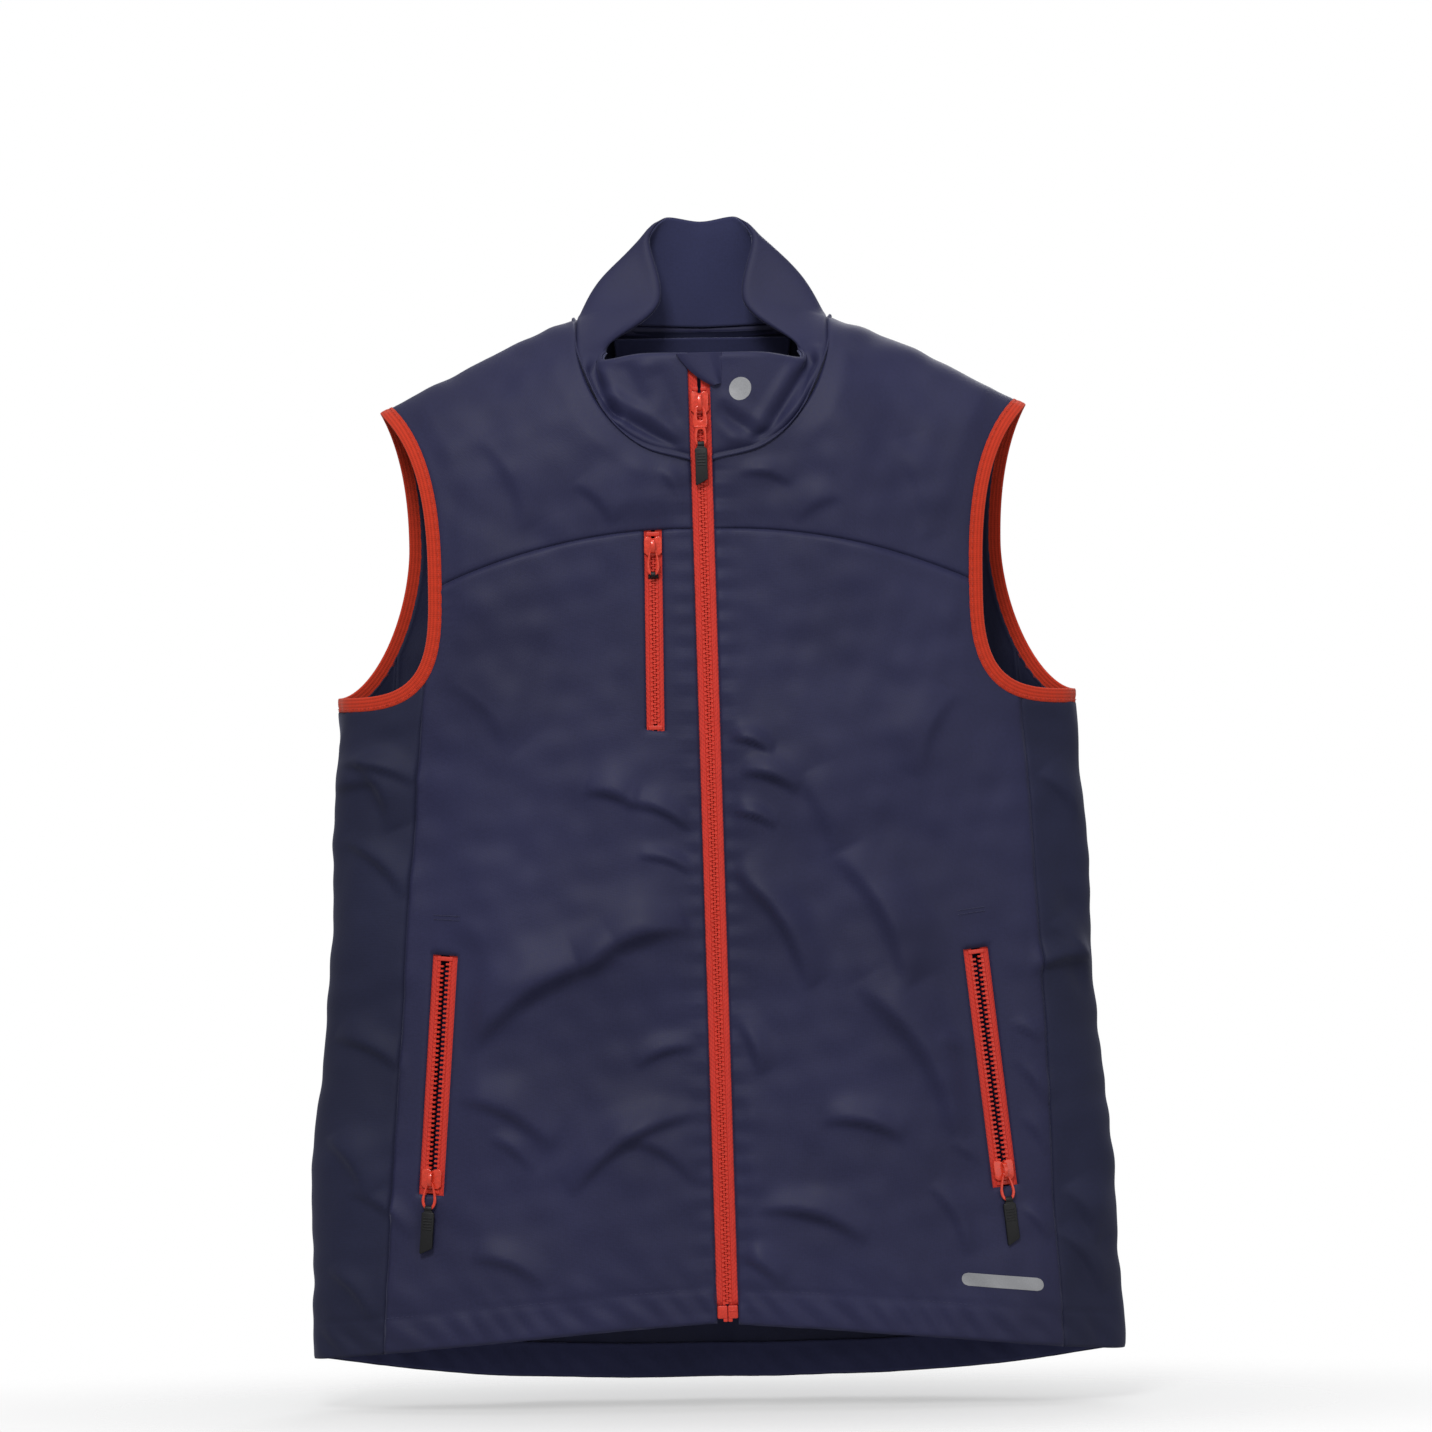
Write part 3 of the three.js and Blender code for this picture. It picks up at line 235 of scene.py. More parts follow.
    def share(self, x, z):
        """Squared depth as a share of the full depth: (1 - (1 - below)^2.2)(1 - (|x| / W)^2.6)."""
        below = np.minimum(1, (self.ridge_z(x) - z) / self.shoulder_fill)
        top = np.where(below > 0, 1 - np.abs(1 - below) ** 2.2, 2.2 * below)
        return top * (1 - (np.abs(x) / self.half_width(z)) ** self.side_roundness)

    def point(self, x, z, side):
        """A point of the smooth surface; side is -1 in front and 1 behind, and may be an array."""
        x, z, side = np.broadcast_arrays(np.asarray(x, float), z, side)
        depth = np.where(side < 0, self.depth[-1], self.depth[1])
        return np.stack([x, side * depth * np.sqrt(np.maximum(0, self.share(x, z))), z], -1)

    def normal(self, points, side):
        """Outward direction: the gradient of y^2 - depth^2 share(x, z), by central differences."""
        x, y, z = points[..., 0], points[..., 1], points[..., 2]
        depth2 = np.where(np.asarray(side) < 0, self.depth[-1], self.depth[1]) ** 2
        step = 0.05
        slope_x = depth2 * (self.share(x + step, z) - self.share(x - step, z)) / (2 * step)
        slope_z = depth2 * (self.share(x, z + step) - self.share(x, z - step)) / (2 * step)
        return unit(np.stack([-slope_x, 2 * y, -slope_z], -1))

    def around(self, turn, z):
        """A point by its turn round the body: 0 front centre, 1 the side, 2 back centre."""
        x = self.half_width(z) * np.sin(turn * np.pi / 2)
        return x, np.where(turn < 1, -1, 1)

    def armhole(self, t, face):
        """Armhole edge for x > 0: shoulder tip (0), waist (0.5), then a rounded corner to the underarm (1)."""
        half, below, top_power, corner_power = self.edges[face]
        waist_z = self.tip_z - below
        down = np.clip(2 * t, 0, 1) ** 2
        x_top = mix(half, self.shoulder_half, (1 - down) ** top_power)
        z_top = mix(self.ridge_z(x_top), waist_z, down)
        angle = np.clip(2 * t - 1, 0, 1) * np.pi / 2
        x_low = mix(self.chest_half, half, np.cos(angle) ** (2 / corner_power))
        z_low = mix(waist_z, self.underarm_z, np.sin(angle) ** (2 / corner_power))
        return np.where(t < 0.5, x_top, x_low), np.where(t < 0.5, z_top, z_low)

    def armhole_share(self, x, face):
        """Where along the lower armhole edge its distance from the centre is x."""
        half, _, _, power = self.edges[face]
        return 0.5 + math.acos(((self.chest_half - x) / (self.chest_half - half)) ** (power / 2)) / math.pi

    def armhole_loop(self, hand, count):
        t = np.linspace(0, 1, count)
        front_x, front_z = self.armhole(t, "front")
        front = self.point(hand * front_x, front_z, -1)
        back_x, back_z = self.armhole(t[::-1], "back")
        back = self.point(hand * back_x, back_z, 1)
        return np.vstack([front, back[1:-1]])

    def neck_edge(self, t, drop, clear=0.0):
        """Neck seam from the shoulder line (0) to the centre (1): a rounded corner of power 0.91."""
        angle = np.pi / 2 * (1 - t * t)
        x = (self.neck_half + clear) * np.sin(angle) ** 0.91
        fall = np.maximum(0, np.cos(angle)) ** 0.91
        return x, self.ridge_z(self.neck_half + clear) - (drop + clear) * fall

    def zip_x(self, z):
        return self.zip_top[0] + (self.zip_top[2] - z) * self.zip_lean

    def front_hem(self, x):
        return self.side_hem_z + self.hem_rise * (1 - np.clip(np.abs(x) / self.hem_half, 0, 1) ** 1.2)

    def back_hem(self, x):
        return self.side_hem_z - self.tail_drop * (1 - np.clip(np.abs(x) / self.hem_half, 0, 1) ** 3)

    def seam_x(self, z, top, hem, top_z):
        return mix(top, hem, np.clip((top_z - z) / (top_z - self.side_hem_z), 0, 1) ** 0.9)

    def folds(self, x, z, side):
        """Creases: a ridge along each line that falls away softly above it and steeply below it."""
        height = np.zeros(np.shape(x))
        for face, lines in ((-1, self.front_folds), (1, self.back_folds)):
            on_face = np.asarray(side) == face
            for x0, z0, x1, z1, width, tall in lines:
                run = np.hypot(x1 - x0, z1 - z0)
                along = ((x - x0) * (x1 - x0) + (z - z0) * (z1 - z0)) / run**2
                bow = 0.1 * run * np.sin(np.pi * np.clip(along, 0, 1))
                across = ((z - z0) * (x1 - x0) - (x - x0) * (z1 - z0)) / run * np.sign(x1 - x0) - bow
                spread = np.where(across > 0, 1.3 * width, 0.4 * width)
                ends = np.sin(np.pi * np.clip(along, 0, 1)) ** 0.8
                height = height + on_face * 2.1 * tall * ends * np.exp(-((across / spread) ** 2))
        return height

    def drape(self, x, y, z):
        """Broad waves of the hanging cloth and fine unevenness: seeded plane waves of falling length."""
        height = np.zeros(np.shape(x))
        for k, (turn, phase, size) in enumerate(self.waves):
            broad = k < 12
            length = mix(70, 170, size) if broad else mix(16, 44, size)
            tall = 0.62 if broad else 0.10
            angle = np.pi * turn
            reach = x * np.cos(angle) * (1.3 if broad else 1) + z * np.sin(angle) * (0.6 if broad else 1)
            turns = reach / length + phase + 0.37 * np.clip(y / 40, -1, 1)
            height = height + tall * np.sin(2 * np.pi * turns)
        return height

    def puckers(self, x, z, side):
        """Short ripples where stitching draws the cloth up: beside the main zip and in the hem's channel."""
        beside = np.abs(x - self.zip_x(z)) - 8
        turn = 2 * np.pi * (z + 5 * np.sin(z / 31.0) + np.where(x > 0, 6, 0)) / 16.5
        zip_part = 0.75 * np.exp(-((np.maximum(beside, 0) / 13) ** 2)) * np.sin(turn) ** 3 * (side < 0)
        hem = np.where(np.asarray(side) < 0, self.front_hem(x), self.back_hem(x))
        above = z - hem
        slant = 2 * np.pi * (x + 0.7 * above + 7 * np.sin(x / 23.0)) / 19
        band = np.exp(-(((above - 12) / 9) ** 2))
        channel = 1.1 * band * np.sin(slant) + 0.35 * np.exp(-(((above - 34) / 9) ** 2)) * np.sin(slant * 0.8)
        groove = -0.75 * np.exp(-(((above - self.hem_channel) / 1.6) ** 2))
        return zip_part + channel + groove

    def relief(self, points, side):
        """Height of the cloth over the smooth surface, level beside everything that is sewn on."""
        x, y, z = points[..., 0], points[..., 1], points[..., 2]
        keep = smooth(self.rim_distance(points) / 20)
        keep = keep * np.where(np.asarray(side) < 0, smooth((np.abs(x - self.zip_x(z)) - 7) / 16), 1)
        for opening in self.openings:
            keep = keep * np.where(np.asarray(side) < 0, smooth(opening.distance(points) / 24), 1)
        rounded = np.sqrt(np.maximum(0, 1 - (np.abs(x) / self.half_width(z)) ** 2))
        level = smooth(rounded / 0.35) * smooth((self.ridge_z(x) - z) / 40)
        height = self.folds(x, z, side) * level + self.drape(x, y, z) + 1.2
        return self.fold_scale * (height * keep + self.puckers(x, z, side) * level)

    def rim_distance(self, points):
        """Distance to the nearest armhole rim or neck seam on the same side of the centre."""
        flat = points.reshape(-1, 3)
        result = np.full(len(flat), 1e3)
        for hand in HANDS.values():
            mine = np.nonzero(flat[:, 0] * hand >= -40)[0]
            line = np.vstack([self.rims[hand], self.neck_lines[hand]])
            for part in np.array_split(mine, max(1, len(mine) // 6000)):
                gap = np.linalg.norm(flat[part, None, :] - line[None], axis=2).min(1)
                result[part] = np.minimum(result[part], gap)
        return result.reshape(points.shape[:-1])

    def surface(self, x, z, side, lift=0.0):
        """Points and directions of the draped cloth, lift above its middle."""
        smooth_points = self.point(x, z, side)
        normal = self.normal(smooth_points, side)
        height = self.relief(smooth_points, side) + lift
        return smooth_points + normal * height[..., None], normal


# ---------------------------------------------------------------- zips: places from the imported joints
# Millimetres, in a zip's own axes: X across to the wearer's left, Y inward, Z up along it.
SLIDER_LENGTH = {"main_zip": 15.0, "chest_zip": 13.0, "hand_zip_right": 13.5, "hand_zip_left": 13.5}
PULLER_LENGTH = {"main_zip": 25.0, "chest_zip": 17.0, "hand_zip_right": 17.5, "hand_zip_left": 17.5}
TAB_LENGTH = {"main_zip": 28.0, "chest_zip": 20.0, "hand_zip_right": 31.0, "hand_zip_left": 31.0}
TAB_HALF = {"main_zip": 4.2, "chest_zip": 3.6, "hand_zip_right": 4.4, "hand_zip_left": 4.4}
# TOOTH_TIP is how far a row's tips stand from the zip's middle; below 0 they pass it and mesh.
TOOTH_TIP = {"main_zip": -0.95, "chest_zip": -0.95, "hand_zip_right": 0.75, "hand_zip_left": 0.75}
OPENING_HALF = {"main_zip": 7.4, "chest_zip": 6.3, "hand_zip_right": 8.4, "hand_zip_left": 8.4}
TOOTH_REACH = 3.7  # from a tooth's tip to its foot
CORD_ROUND = 2.0  # how much of a tape's width is turned round the cord inside its edge
PLATE_FACE = 2.85  # outer face of a slider's plates from the plane of the tapes
PIVOT_AHEAD = 5.35  # of a puller's hinge, ahead of the tapes
PIVOT_ABOVE_END = 4.3  # and above its slider's lower end
TAPE_HALF = 15.0  # of the main zip's tapes
FACING_CLEAR = 2.0  # between a facing and the zip tape or seam beside it
# SLIDER_HEAD is how far a slider's head rests below the top end of its zip's opening.
SLIDER_HEAD = {"main_zip": 24.0, "chest_zip": 4.3, "hand_zip_right": 145.2, "hand_zip_left": 145.2}


def joint(name):
    return next(j for j in frame["joints"] if j["name"] == name)


def zip_axes(name):
    """Across to the wearer's left, inward, and up along the zip, as rows."""
    across = -np.array(joint(name + "_puller_hinge")["axis"], float)
    slide = np.array(joint(name + "_slide")["axis"], float)
    up = slide * np.sign(slide[2])
    return np.array([across, np.cross(up, across), up])


def slider_origin(name):
    """The slider's head, in the plane of the tapes, in metres."""
    _, inward, up = zip_axes(name)
    pivot = np.array(joint(name + "_puller_hinge")["pos_m"], float)
    return pivot + inward * PIVOT_AHEAD * MM + up * (SLIDER_LENGTH[name] - PIVOT_ABOVE_END) * MM


def local_origin(name):
    """The top end of a zip's opening, in metres."""
    return slider_origin(name) + zip_axes(name)[2] * SLIDER_HEAD[name] * MM


def local_box(name, node):
    """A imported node's lowest and highest corner in its zip's own axes, in millimetres."""
    mesh = frame["nodes"][node].data
    co = np.empty(len(mesh.vertices) * 3, np.float32)
    mesh.vertices.foreach_get("co", co)
    local = (co.reshape(-1, 3) - local_origin(name)) @ zip_axes(name).T / MM
    return local.min(0), local.max(0)


class Opening:
    """The slot that a pocket zip shows through, in the zip's own axes."""

    def __init__(self, name, length):
        self.name, self.length = name, length
        self.half = OPENING_HALF[name]
        self.axes = zip_axes(name)
        self.origin = local_origin(name) / MM

    def local(self, points):
        return (points - self.origin) @ self.axes.T

    def distance(self, points):
        """How far outside the slot a point is, seen square on."""
        local = self.local(points)
        across = np.maximum(np.abs(local[..., 0]) - self.half, 0)
        along = np.maximum(np.maximum(local[..., 2], -self.length - local[..., 2]), 0)
        return np.hypot(across, along)


def pocket_opening(name):
    low, _ = local_box(name, name + "_bottom_stop")
    return Opening(name, 1 - low[2])


# ---------------------------------------------------------------- meshes
def grid_quads(rows, columns, ring=False, keep=None):
    """Quads of a grid whose points are stored row by row; keep is a mask of rows x columns."""
    j, i = np.meshgrid(np.arange(rows), np.arange(columns), indexing="ij")
    across = columns if ring else columns + 1
    after = (i + 1) % across
    quads = np.stack([j * across + i, j * across + after, (j + 1) * across + after, (j + 1) * across + i], -1)
    return quads.reshape(-1, 4) if keep is None else quads[keep]


def quad_object(name, points, quads, uv=None, outward=None):
    """An object from whole arrays of points (mm), quads and UV (m), turned to face outward if that is given."""
    points = points.reshape(-1, 3)
    used, quads = np.unique(quads, return_inverse=True)
    quads = quads.reshape(-1, 4)
    points = points[used]
    if outward is not None:
        way = outward.reshape(-1, 3)[used]
        face = np.cross(points[quads[:, 2]] - points[quads[:, 0]], points[quads[:, 3]] - points[quads[:, 1]])
        if np.sum(face * way[quads[:, 0]]) < 0:
            quads = quads[:, ::-1]
    mesh = bpy.data.meshes.new(name)
    mesh.vertices.add(len(points))
    mesh.vertices.foreach_set("co", (points * MM).astype(np.float32).ravel())
    mesh.loops.add(quads.size)
    mesh.loops.foreach_set("vertex_index", quads.astype(np.int32).ravel())
    mesh.polygons.add(len(quads))
    mesh.polygons.foreach_set("loop_start", np.arange(0, quads.size, 4, dtype=np.int32))
    mesh.update(calc_edges=True)
    if uv is not None:
        layer = mesh.uv_layers.new(name="cloth")
        layer.data.foreach_set("uv", uv.reshape(-1, 2)[used][quads.ravel()].astype(np.float32).ravel())
    mesh.polygons.foreach_set("use_smooth", np.ones(len(quads), bool))
    mesh.validate()
    return link(mesh, name)


def link(mesh, name):
    piece = bpy.data.objects.new(name, mesh)
    bpy.context.scene.collection.objects.link(piece)
    return piece


def lengths(points):
    """Distance along each row and down each column of a grid of points, and the grid's whole area."""
    across = np.linalg.norm(np.diff(points, axis=1), axis=2)
    down = np.linalg.norm(np.diff(points, axis=0), axis=2)
    u = np.concatenate([np.zeros((len(points), 1)), np.cumsum(across, 1)], 1)
    v = np.concatenate([np.zeros((1, points.shape[1])), np.cumsum(down, 0)], 0)
    cells = np.cross(points[1:, 1:] - points[:-1, :-1], points[1:, :-1] - points[:-1, 1:])
    return u, v, 0.5 * np.linalg.norm(cells, axis=2).sum()


def cloth_piece(node, flat, points, outward, thickness, material, kind="_cloth", keep=None,
                turned_under=0.0):
    """One layer of cloth with a real thickness."""
    rows, columns = points.shape[0] - 1, points.shape[1] - 1
    u, v, area = lengths(flat)
    width, length = u[:, -1].max(), v[-1].max()
    uv = np.stack([u - u[:, -1:] / 2, v], -1) * MM
    piece = quad_object(node + kind, points, grid_quads(rows, columns, keep=keep), uv, outward)
    wall = piece.modifiers.new("cloth thickness", "SOLIDIFY")
    wall.thickness = thickness * MM
    wall.offset = 0
    finish_piece(piece, material, "jacket", node)
    width += turned_under
    return piece


def raised_cloth(node, flat, normal, height, thickness, material, kind="_cloth", keep=None):
    """Cloth that stands off its smooth surface by height."""
    points = flat + normal * height[..., None]
    return cloth_piece(node, flat, points, normal, thickness, material, kind, keep)


def finish_piece(piece, material, body, nodes):
    piece.data.materials.append(material)
    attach(piece, body)
    if nodes:
        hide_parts(*([nodes] if isinstance(nodes, str) else nodes))
    return piece


def groove(distance, deep, radius=3.0):
    """How far a sewn edge turns down: deep (1 - d / r)^2 within r of the edge."""
    return deep * np.clip(1 - distance / radius, 0, 1) ** 2


class Shells:
    """Closed shells gathered into one mesh."""

    def __init__(self):
        self.points, self.faces, self.count = [], [], 0

    def add(self, points, faces):
        self.points.append(points)
        self.faces += [[k + self.count for k in face] for face in faces]
        self.count += len(points)

    def piece(self, name, origin=(0, 0, 0), axes=np.eye(3), sharp=0.9):
        """The mesh, placed by an origin in metres and axes as rows."""
        placed = np.vstack(self.points) @ np.asarray(axes) * MM + np.asarray(origin)
        mesh = bpy.data.meshes.new(name)
        mesh.from_pydata(placed.tolist(), [], self.faces)
        mesh.validate()
        mesh.update()
        mesh.polygons.foreach_set("use_smooth", np.ones(len(mesh.polygons), bool))
        mesh.set_sharp_from_angle(angle=sharp)
        return link(mesh, name)


def loop_area(outline):
    after = np.roll(outline, -1, 0)
    return 0.5 * np.sum(outline[:, 0] * after[:, 1] - after[:, 0] * outline[:, 1])


def inset(outline, amount):
    """An outline moved inward along the mean of its two edges' normals."""
    before, after = outline - np.roll(outline, 1, 0), np.roll(outline, -1, 0) - outline
    turn = unit(unit(before) + unit(after))
    inward = np.stack([-turn[:, 1], turn[:, 0]], 1)
    cosine = np.abs(np.sum(unit(before) * turn, 1))
    return outline + inward * amount / np.maximum(cosine, 0.5)[:, None]


def slab(outline, near, far, edge=0.3, steps=3):
    """A plate in X and Z from Y near to far: its outline is carried round a quarter circle at each face."""
    outline = np.asarray(outline, float)
    if loop_area(outline) < 0:
        outline = outline[::-1]
    angle = np.linspace(0, np.pi / 2, steps + 1)
    profile = [(edge * (1 - np.sin(a)), near + edge * (1 - np.cos(a))) for a in angle]
    profile += [(edge * (1 - np.cos(a)), far - edge * (1 - np.sin(a))) for a in angle]
    rings = [np.insert(inset(outline, shift), 1, y, axis=1) for shift, y in profile]
    count = len(outline)
    faces = [list(q) for q in grid_quads(len(rings) - 1, count, ring=True)]
    faces.append(list(range(count))[::-1])
    faces.append(list(range((len(rings) - 1) * count, len(rings) * count)))
    return np.vstack(rings), faces


def ring_slab(outer, inner, near, far, edge=0.3):
    """A flat ring: a rounded rectangle carried round between two loops with the same number of points."""
    outer, inner = np.asarray(outer, float), np.asarray(inner, float)
    if loop_area(outer) < 0:
        outer, inner = outer[::-1], inner[::-1]
    wide = np.linalg.norm(outer - inner, axis=1).mean()
    e = min(0.45, edge / wide)
    section = [(1 - e, near), (1 - 0.3 * e, near + 0.3 * edge), (1, near + edge), (1, far - edge),
               (1 - 0.3 * e, far - 0.3 * edge), (1 - e, far), (e, far), (0.3 * e, far - 0.3 * edge),
               (0, far - edge), (0, near + edge), (0.3 * e, near + 0.3 * edge), (e, near)]
    rings = [np.insert(mix(inner, outer, share), 1, y, axis=1) for share, y in section]
    count = len(outer)
    quads = grid_quads(len(rings), count, ring=True) % (len(rings) * count)
    return np.vstack(rings), [list(q) for q in quads]


def turned(shell, order):
    """A shell with its axes swapped in a cycle, which keeps its faces outward."""
    points, faces = shell
    return points[:, order], faces


def rounded_box(low, high, edge=0.4, corner_radius=None):
    """A box with round edges, from its two corners."""
    radius = corner_radius or min(1.2, 0.3 * min(high[0] - low[0], high[2] - low[2]))
    angle = np.linspace(0, np.pi / 2, 5)
    middles = [(high[0] - radius, high[2] - radius, 0), (low[0] + radius, high[2] - radius, 1),
               (low[0] + radius, low[2] + radius, 2), (high[0] - radius, low[2] + radius, 3)]
    outline = np.vstack([
        np.stack([x + radius * np.cos(angle + k * np.pi / 2), z + radius * np.sin(angle + k * np.pi / 2)], 1)
        for x, z, k in middles
    ])
    return slab(outline, low[1], high[1], edge)


def repeated(shell, origins, axes):
    """Copies of one small shell, each placed by its own origin (mm) and axes (rows), as one set of arrays."""
    points, faces = shell
    placed = np.einsum("pk,nkc->npc", points, np.broadcast_to(axes, (len(origins), 3, 3))) + origins[:, None]
    sizes = len(points)
    copies = [[k + n * sizes for k in face] for n in range(len(origins)) for face in faces]
    return placed.reshape(-1, 3), copies


def distance_along(path):
    return np.concatenate([[0], np.cumsum(np.linalg.norm(np.diff(path, axis=0), axis=1))])


def along_path(path, pitch):
    """Evenly spaced places on a path of points, with the direction there."""
    run = distance_along(path)
    at = np.arange(pitch / 2, run[-1], pitch)
    places = np.stack([np.interp(at, run, path[:, k]) for k in range(3)], 1)
    ahead = np.stack([np.interp(at + pitch / 4, run, path[:, k]) for k in range(3)], 1)
    behind = np.stack([np.interp(at - pitch / 4, run, path[:, k]) for k in range(3)], 1)
    return places, unit(ahead - behind), at, run


def stitches(shells, path, outward, pitch, thread=0.42):
    """A row of sewn stitches: short rounded lengths of thread that dip into the cloth at both ends."""
    places, direction, at, run = along_path(path, pitch)
    way = np.stack([np.interp(at, run, outward[:, k]) for k in range(3)], 1)
    side = unit(np.cross(way, direction))
    way = unit(np.cross(direction, side))
    turn = np.linspace(0, 2 * np.pi, 6, endpoint=False)
    rings = [
        (-0.40, 0.25, -0.35), (-0.28, 0.85, 0.05), (0.0, 1.0, 0.25), (0.28, 0.85, 0.05), (0.40, 0.25, -0.35)]
    points = np.vstack([
        np.stack([np.full(6, share * pitch), thread / 2 * wide * np.cos(turn) * 1.3,
                  thread / 2 * wide * np.sin(turn) + thread / 2 * rise], 1)
        for share, wide, rise in rings
    ])
    faces = [list(q) for q in grid_quads(4, 6, ring=True)] + [[5, 4, 3, 2, 1, 0], list(range(24, 30))]
    shells.add(*repeated((points, faces), places, np.stack([direction, side, way], 1)))


# ---------------------------------------------------------------- materials
def add_node(tree, kind, settings=None, inputs=None):
    """One node with its settings; an input is either a value or another node's output."""
    made = tree.nodes.new(kind)
    for key, value in (settings or {}).items():
        setattr(made, key, value)
    for key, value in (inputs or {}).items():
        if isinstance(value, bpy.types.NodeSocket):
            tree.links.new(value, made.inputs[key])
        else:
            made.inputs[key].default_value = value
    return made


def new_material(name, **shader):
    """A material with one Principled shader whose constants are set on its own sockets."""
    existing = bpy.data.materials.get(name)
    if existing:
        return existing, None, None
    material = bpy.data.materials.new(name)
    material.use_nodes = True
    tree = material.node_tree
    tree.nodes.clear()
    inputs = {key.replace("_", " "): value for key, value in shader.items()}
    surface = add_node(tree, "ShaderNodeBsdfPrincipled", inputs=inputs)
    add_node(tree, "ShaderNodeOutputMaterial", inputs={"Surface": surface.outputs[0]})
    return material, tree, surface


def shades(tree, surface, source, dark, light, low=0.35, high=0.65):
    """The base colour: a ramp between two colours, driven by a pattern."""
    ramp = add_node(tree, "ShaderNodeValToRGB", inputs={"Fac": source})
    ramp.color_ramp.elements[0].position = low
    ramp.color_ramp.elements[1].position = high
    ramp.color_ramp.elements[0].color = (*dark, 1)
    ramp.color_ramp.elements[1].color = (*light, 1)
    tree.links.new(ramp.outputs["Color"], surface.inputs["Base Color"])


def gloss(tree, surface, source, low, high, from_low=0.0, from_high=1.0):
    """The roughness: a pattern's range from from_low to from_high spread over low to high."""
    rough = add_node(tree, "ShaderNodeMapRange", {}, {
        "Value": source, "From Min": from_low, "From Max": from_high, "To Min": low, "To Max": high})
    tree.links.new(rough.outputs[0], surface.inputs["Roughness"])


def bumps(tree, surface, *layers):
    """Bumps one over the other, each a pattern, its strength and its height in metres."""
    inputs = {}
    for pattern, strength, height in layers:
        inputs |= {"Height": pattern, "Strength": strength, "Distance": height}
        inputs["Normal"] = add_node(tree, "ShaderNodeBump", {}, inputs).outputs[0]
    tree.links.new(inputs["Normal"], surface.inputs["Normal"])


def bands(tree, place, direction, width, **more):
    """Straight bands that repeat every width metres: a Wave texture turns 20 times its input."""
    inputs = {"Vector": place.outputs["UV"], "Scale": 2 * math.pi / (20 * width)}
    inputs |= {key.replace("_", " "): value for key, value in more.items()}
    settings = {"wave_type": "BANDS", "bands_direction": direction}
    return add_node(tree, "ShaderNodeTexWave", settings, inputs).outputs["Fac"]


def noise(tree, place, space, scale, detail):
    inputs = {"Vector": place.outputs[space], "Scale": scale, "Detail": detail}
    return add_node(tree, "ShaderNodeTexNoise", {}, inputs).outputs["Fac"]


def arithmetic(tree, operation, *values):
    return add_node(tree, "ShaderNodeMath", {"operation": operation}, dict(enumerate(values))).outputs[0]


def scaled(colour, share):
    return tuple(min(1.0, c * share) for c in colour)


def woven_shell(name, colour, sheen=0.14, roughness=0.58):
    """Tightly woven polyester soft shell: a smooth plain weave with a faint satin sheen.

    Its threads are 0.25 mm apart, too fine to show, so the weave is drawn at 1.1 mm and shallow.
    """
    material, tree, surface = new_material(
        name, Roughness=roughness, IOR=1.5, Specular_IOR_Level=0.32, Sheen_Weight=sheen, Sheen_Roughness=0.42,
        Sheen_Tint=(0.62, 0.64, 0.9, 1))
    if tree is None:
        return material
    place = add_node(tree, "ShaderNodeTexCoord")
    warp, weft = (bands(tree, place, way, 0.0011, Distortion=0.6, Detail=1.0, Detail_Scale=2.0) for way in "XY")
    weave = arithmetic(tree, "MULTIPLY", warp, weft)
    cloud = noise(tree, place, "Object", 9.0, 5.0)
    slub = noise(tree, place, "UV", 420.0, 3.0)
    both = arithmetic(tree, "MULTIPLY_ADD", slub, 0.45, cloud)
    shades(tree, surface, both, scaled(colour, 0.84), scaled(colour, 1.14), 0.55, 0.95)
    gloss(tree, surface, slub, roughness - 0.07, roughness + 0.07)
    bumps(tree, surface, (weave, 0.14, 0.0003), (slub, 0.16, 0.0006))
    return material


def ribbed_elastic(colour):
    """Fold-over elastic: ribs across a knitted band, matt with a soft bloom.

    Real ribs are about 0.8 mm apart; these are drawn at 1.3 mm.
    """
    material, tree, surface = new_material(
        "Fold-over elastic", Roughness=0.85, Specular_IOR_Level=0.2, Sheen_Weight=0.35, Sheen_Roughness=0.5,
        Sheen_Tint=(1.0, 0.55, 0.45, 1))
    if tree is None:
        return material
    place = add_node(tree, "ShaderNodeTexCoord")
    ribs = bands(tree, place, "Y", 0.0013, Distortion=0.3)
    knit = arithmetic(tree, "MULTIPLY_ADD", ribs, 0.6, bands(tree, place, "X", 0.0024))
    shades(tree, surface, knit, scaled(colour, 0.78), scaled(colour, 1.12), 0.2, 1.4)
    bumps(tree, surface, (knit, 0.35, 0.0005))
    return material


def woven_tape(colour):
    """Zip tape: polyester woven in a herringbone whose ribs are 1.2 mm apart, with a slightly paler face."""
    material, tree, surface = new_material(
        "Woven zip tape", Roughness=0.74, Specular_IOR_Level=0.28, Sheen_Weight=0.2, Sheen_Roughness=0.45,
        Sheen_Tint=(1.0, 0.6, 0.55, 1))
    if tree is None:
        return material
    place = add_node(tree, "ShaderNodeTexCoord")
    picks = bands(tree, place, "DIAGONAL", 0.0016, Distortion=0.4)
    twill = arithmetic(tree, "MULTIPLY_ADD", picks, 0.7, bands(tree, place, "X", 0.0012))
    shades(tree, surface, twill, scaled(colour, 0.8), scaled(colour, 1.15), 0.2, 1.5)
    bumps(tree, surface, (twill, 0.3, 0.0004))
    return material


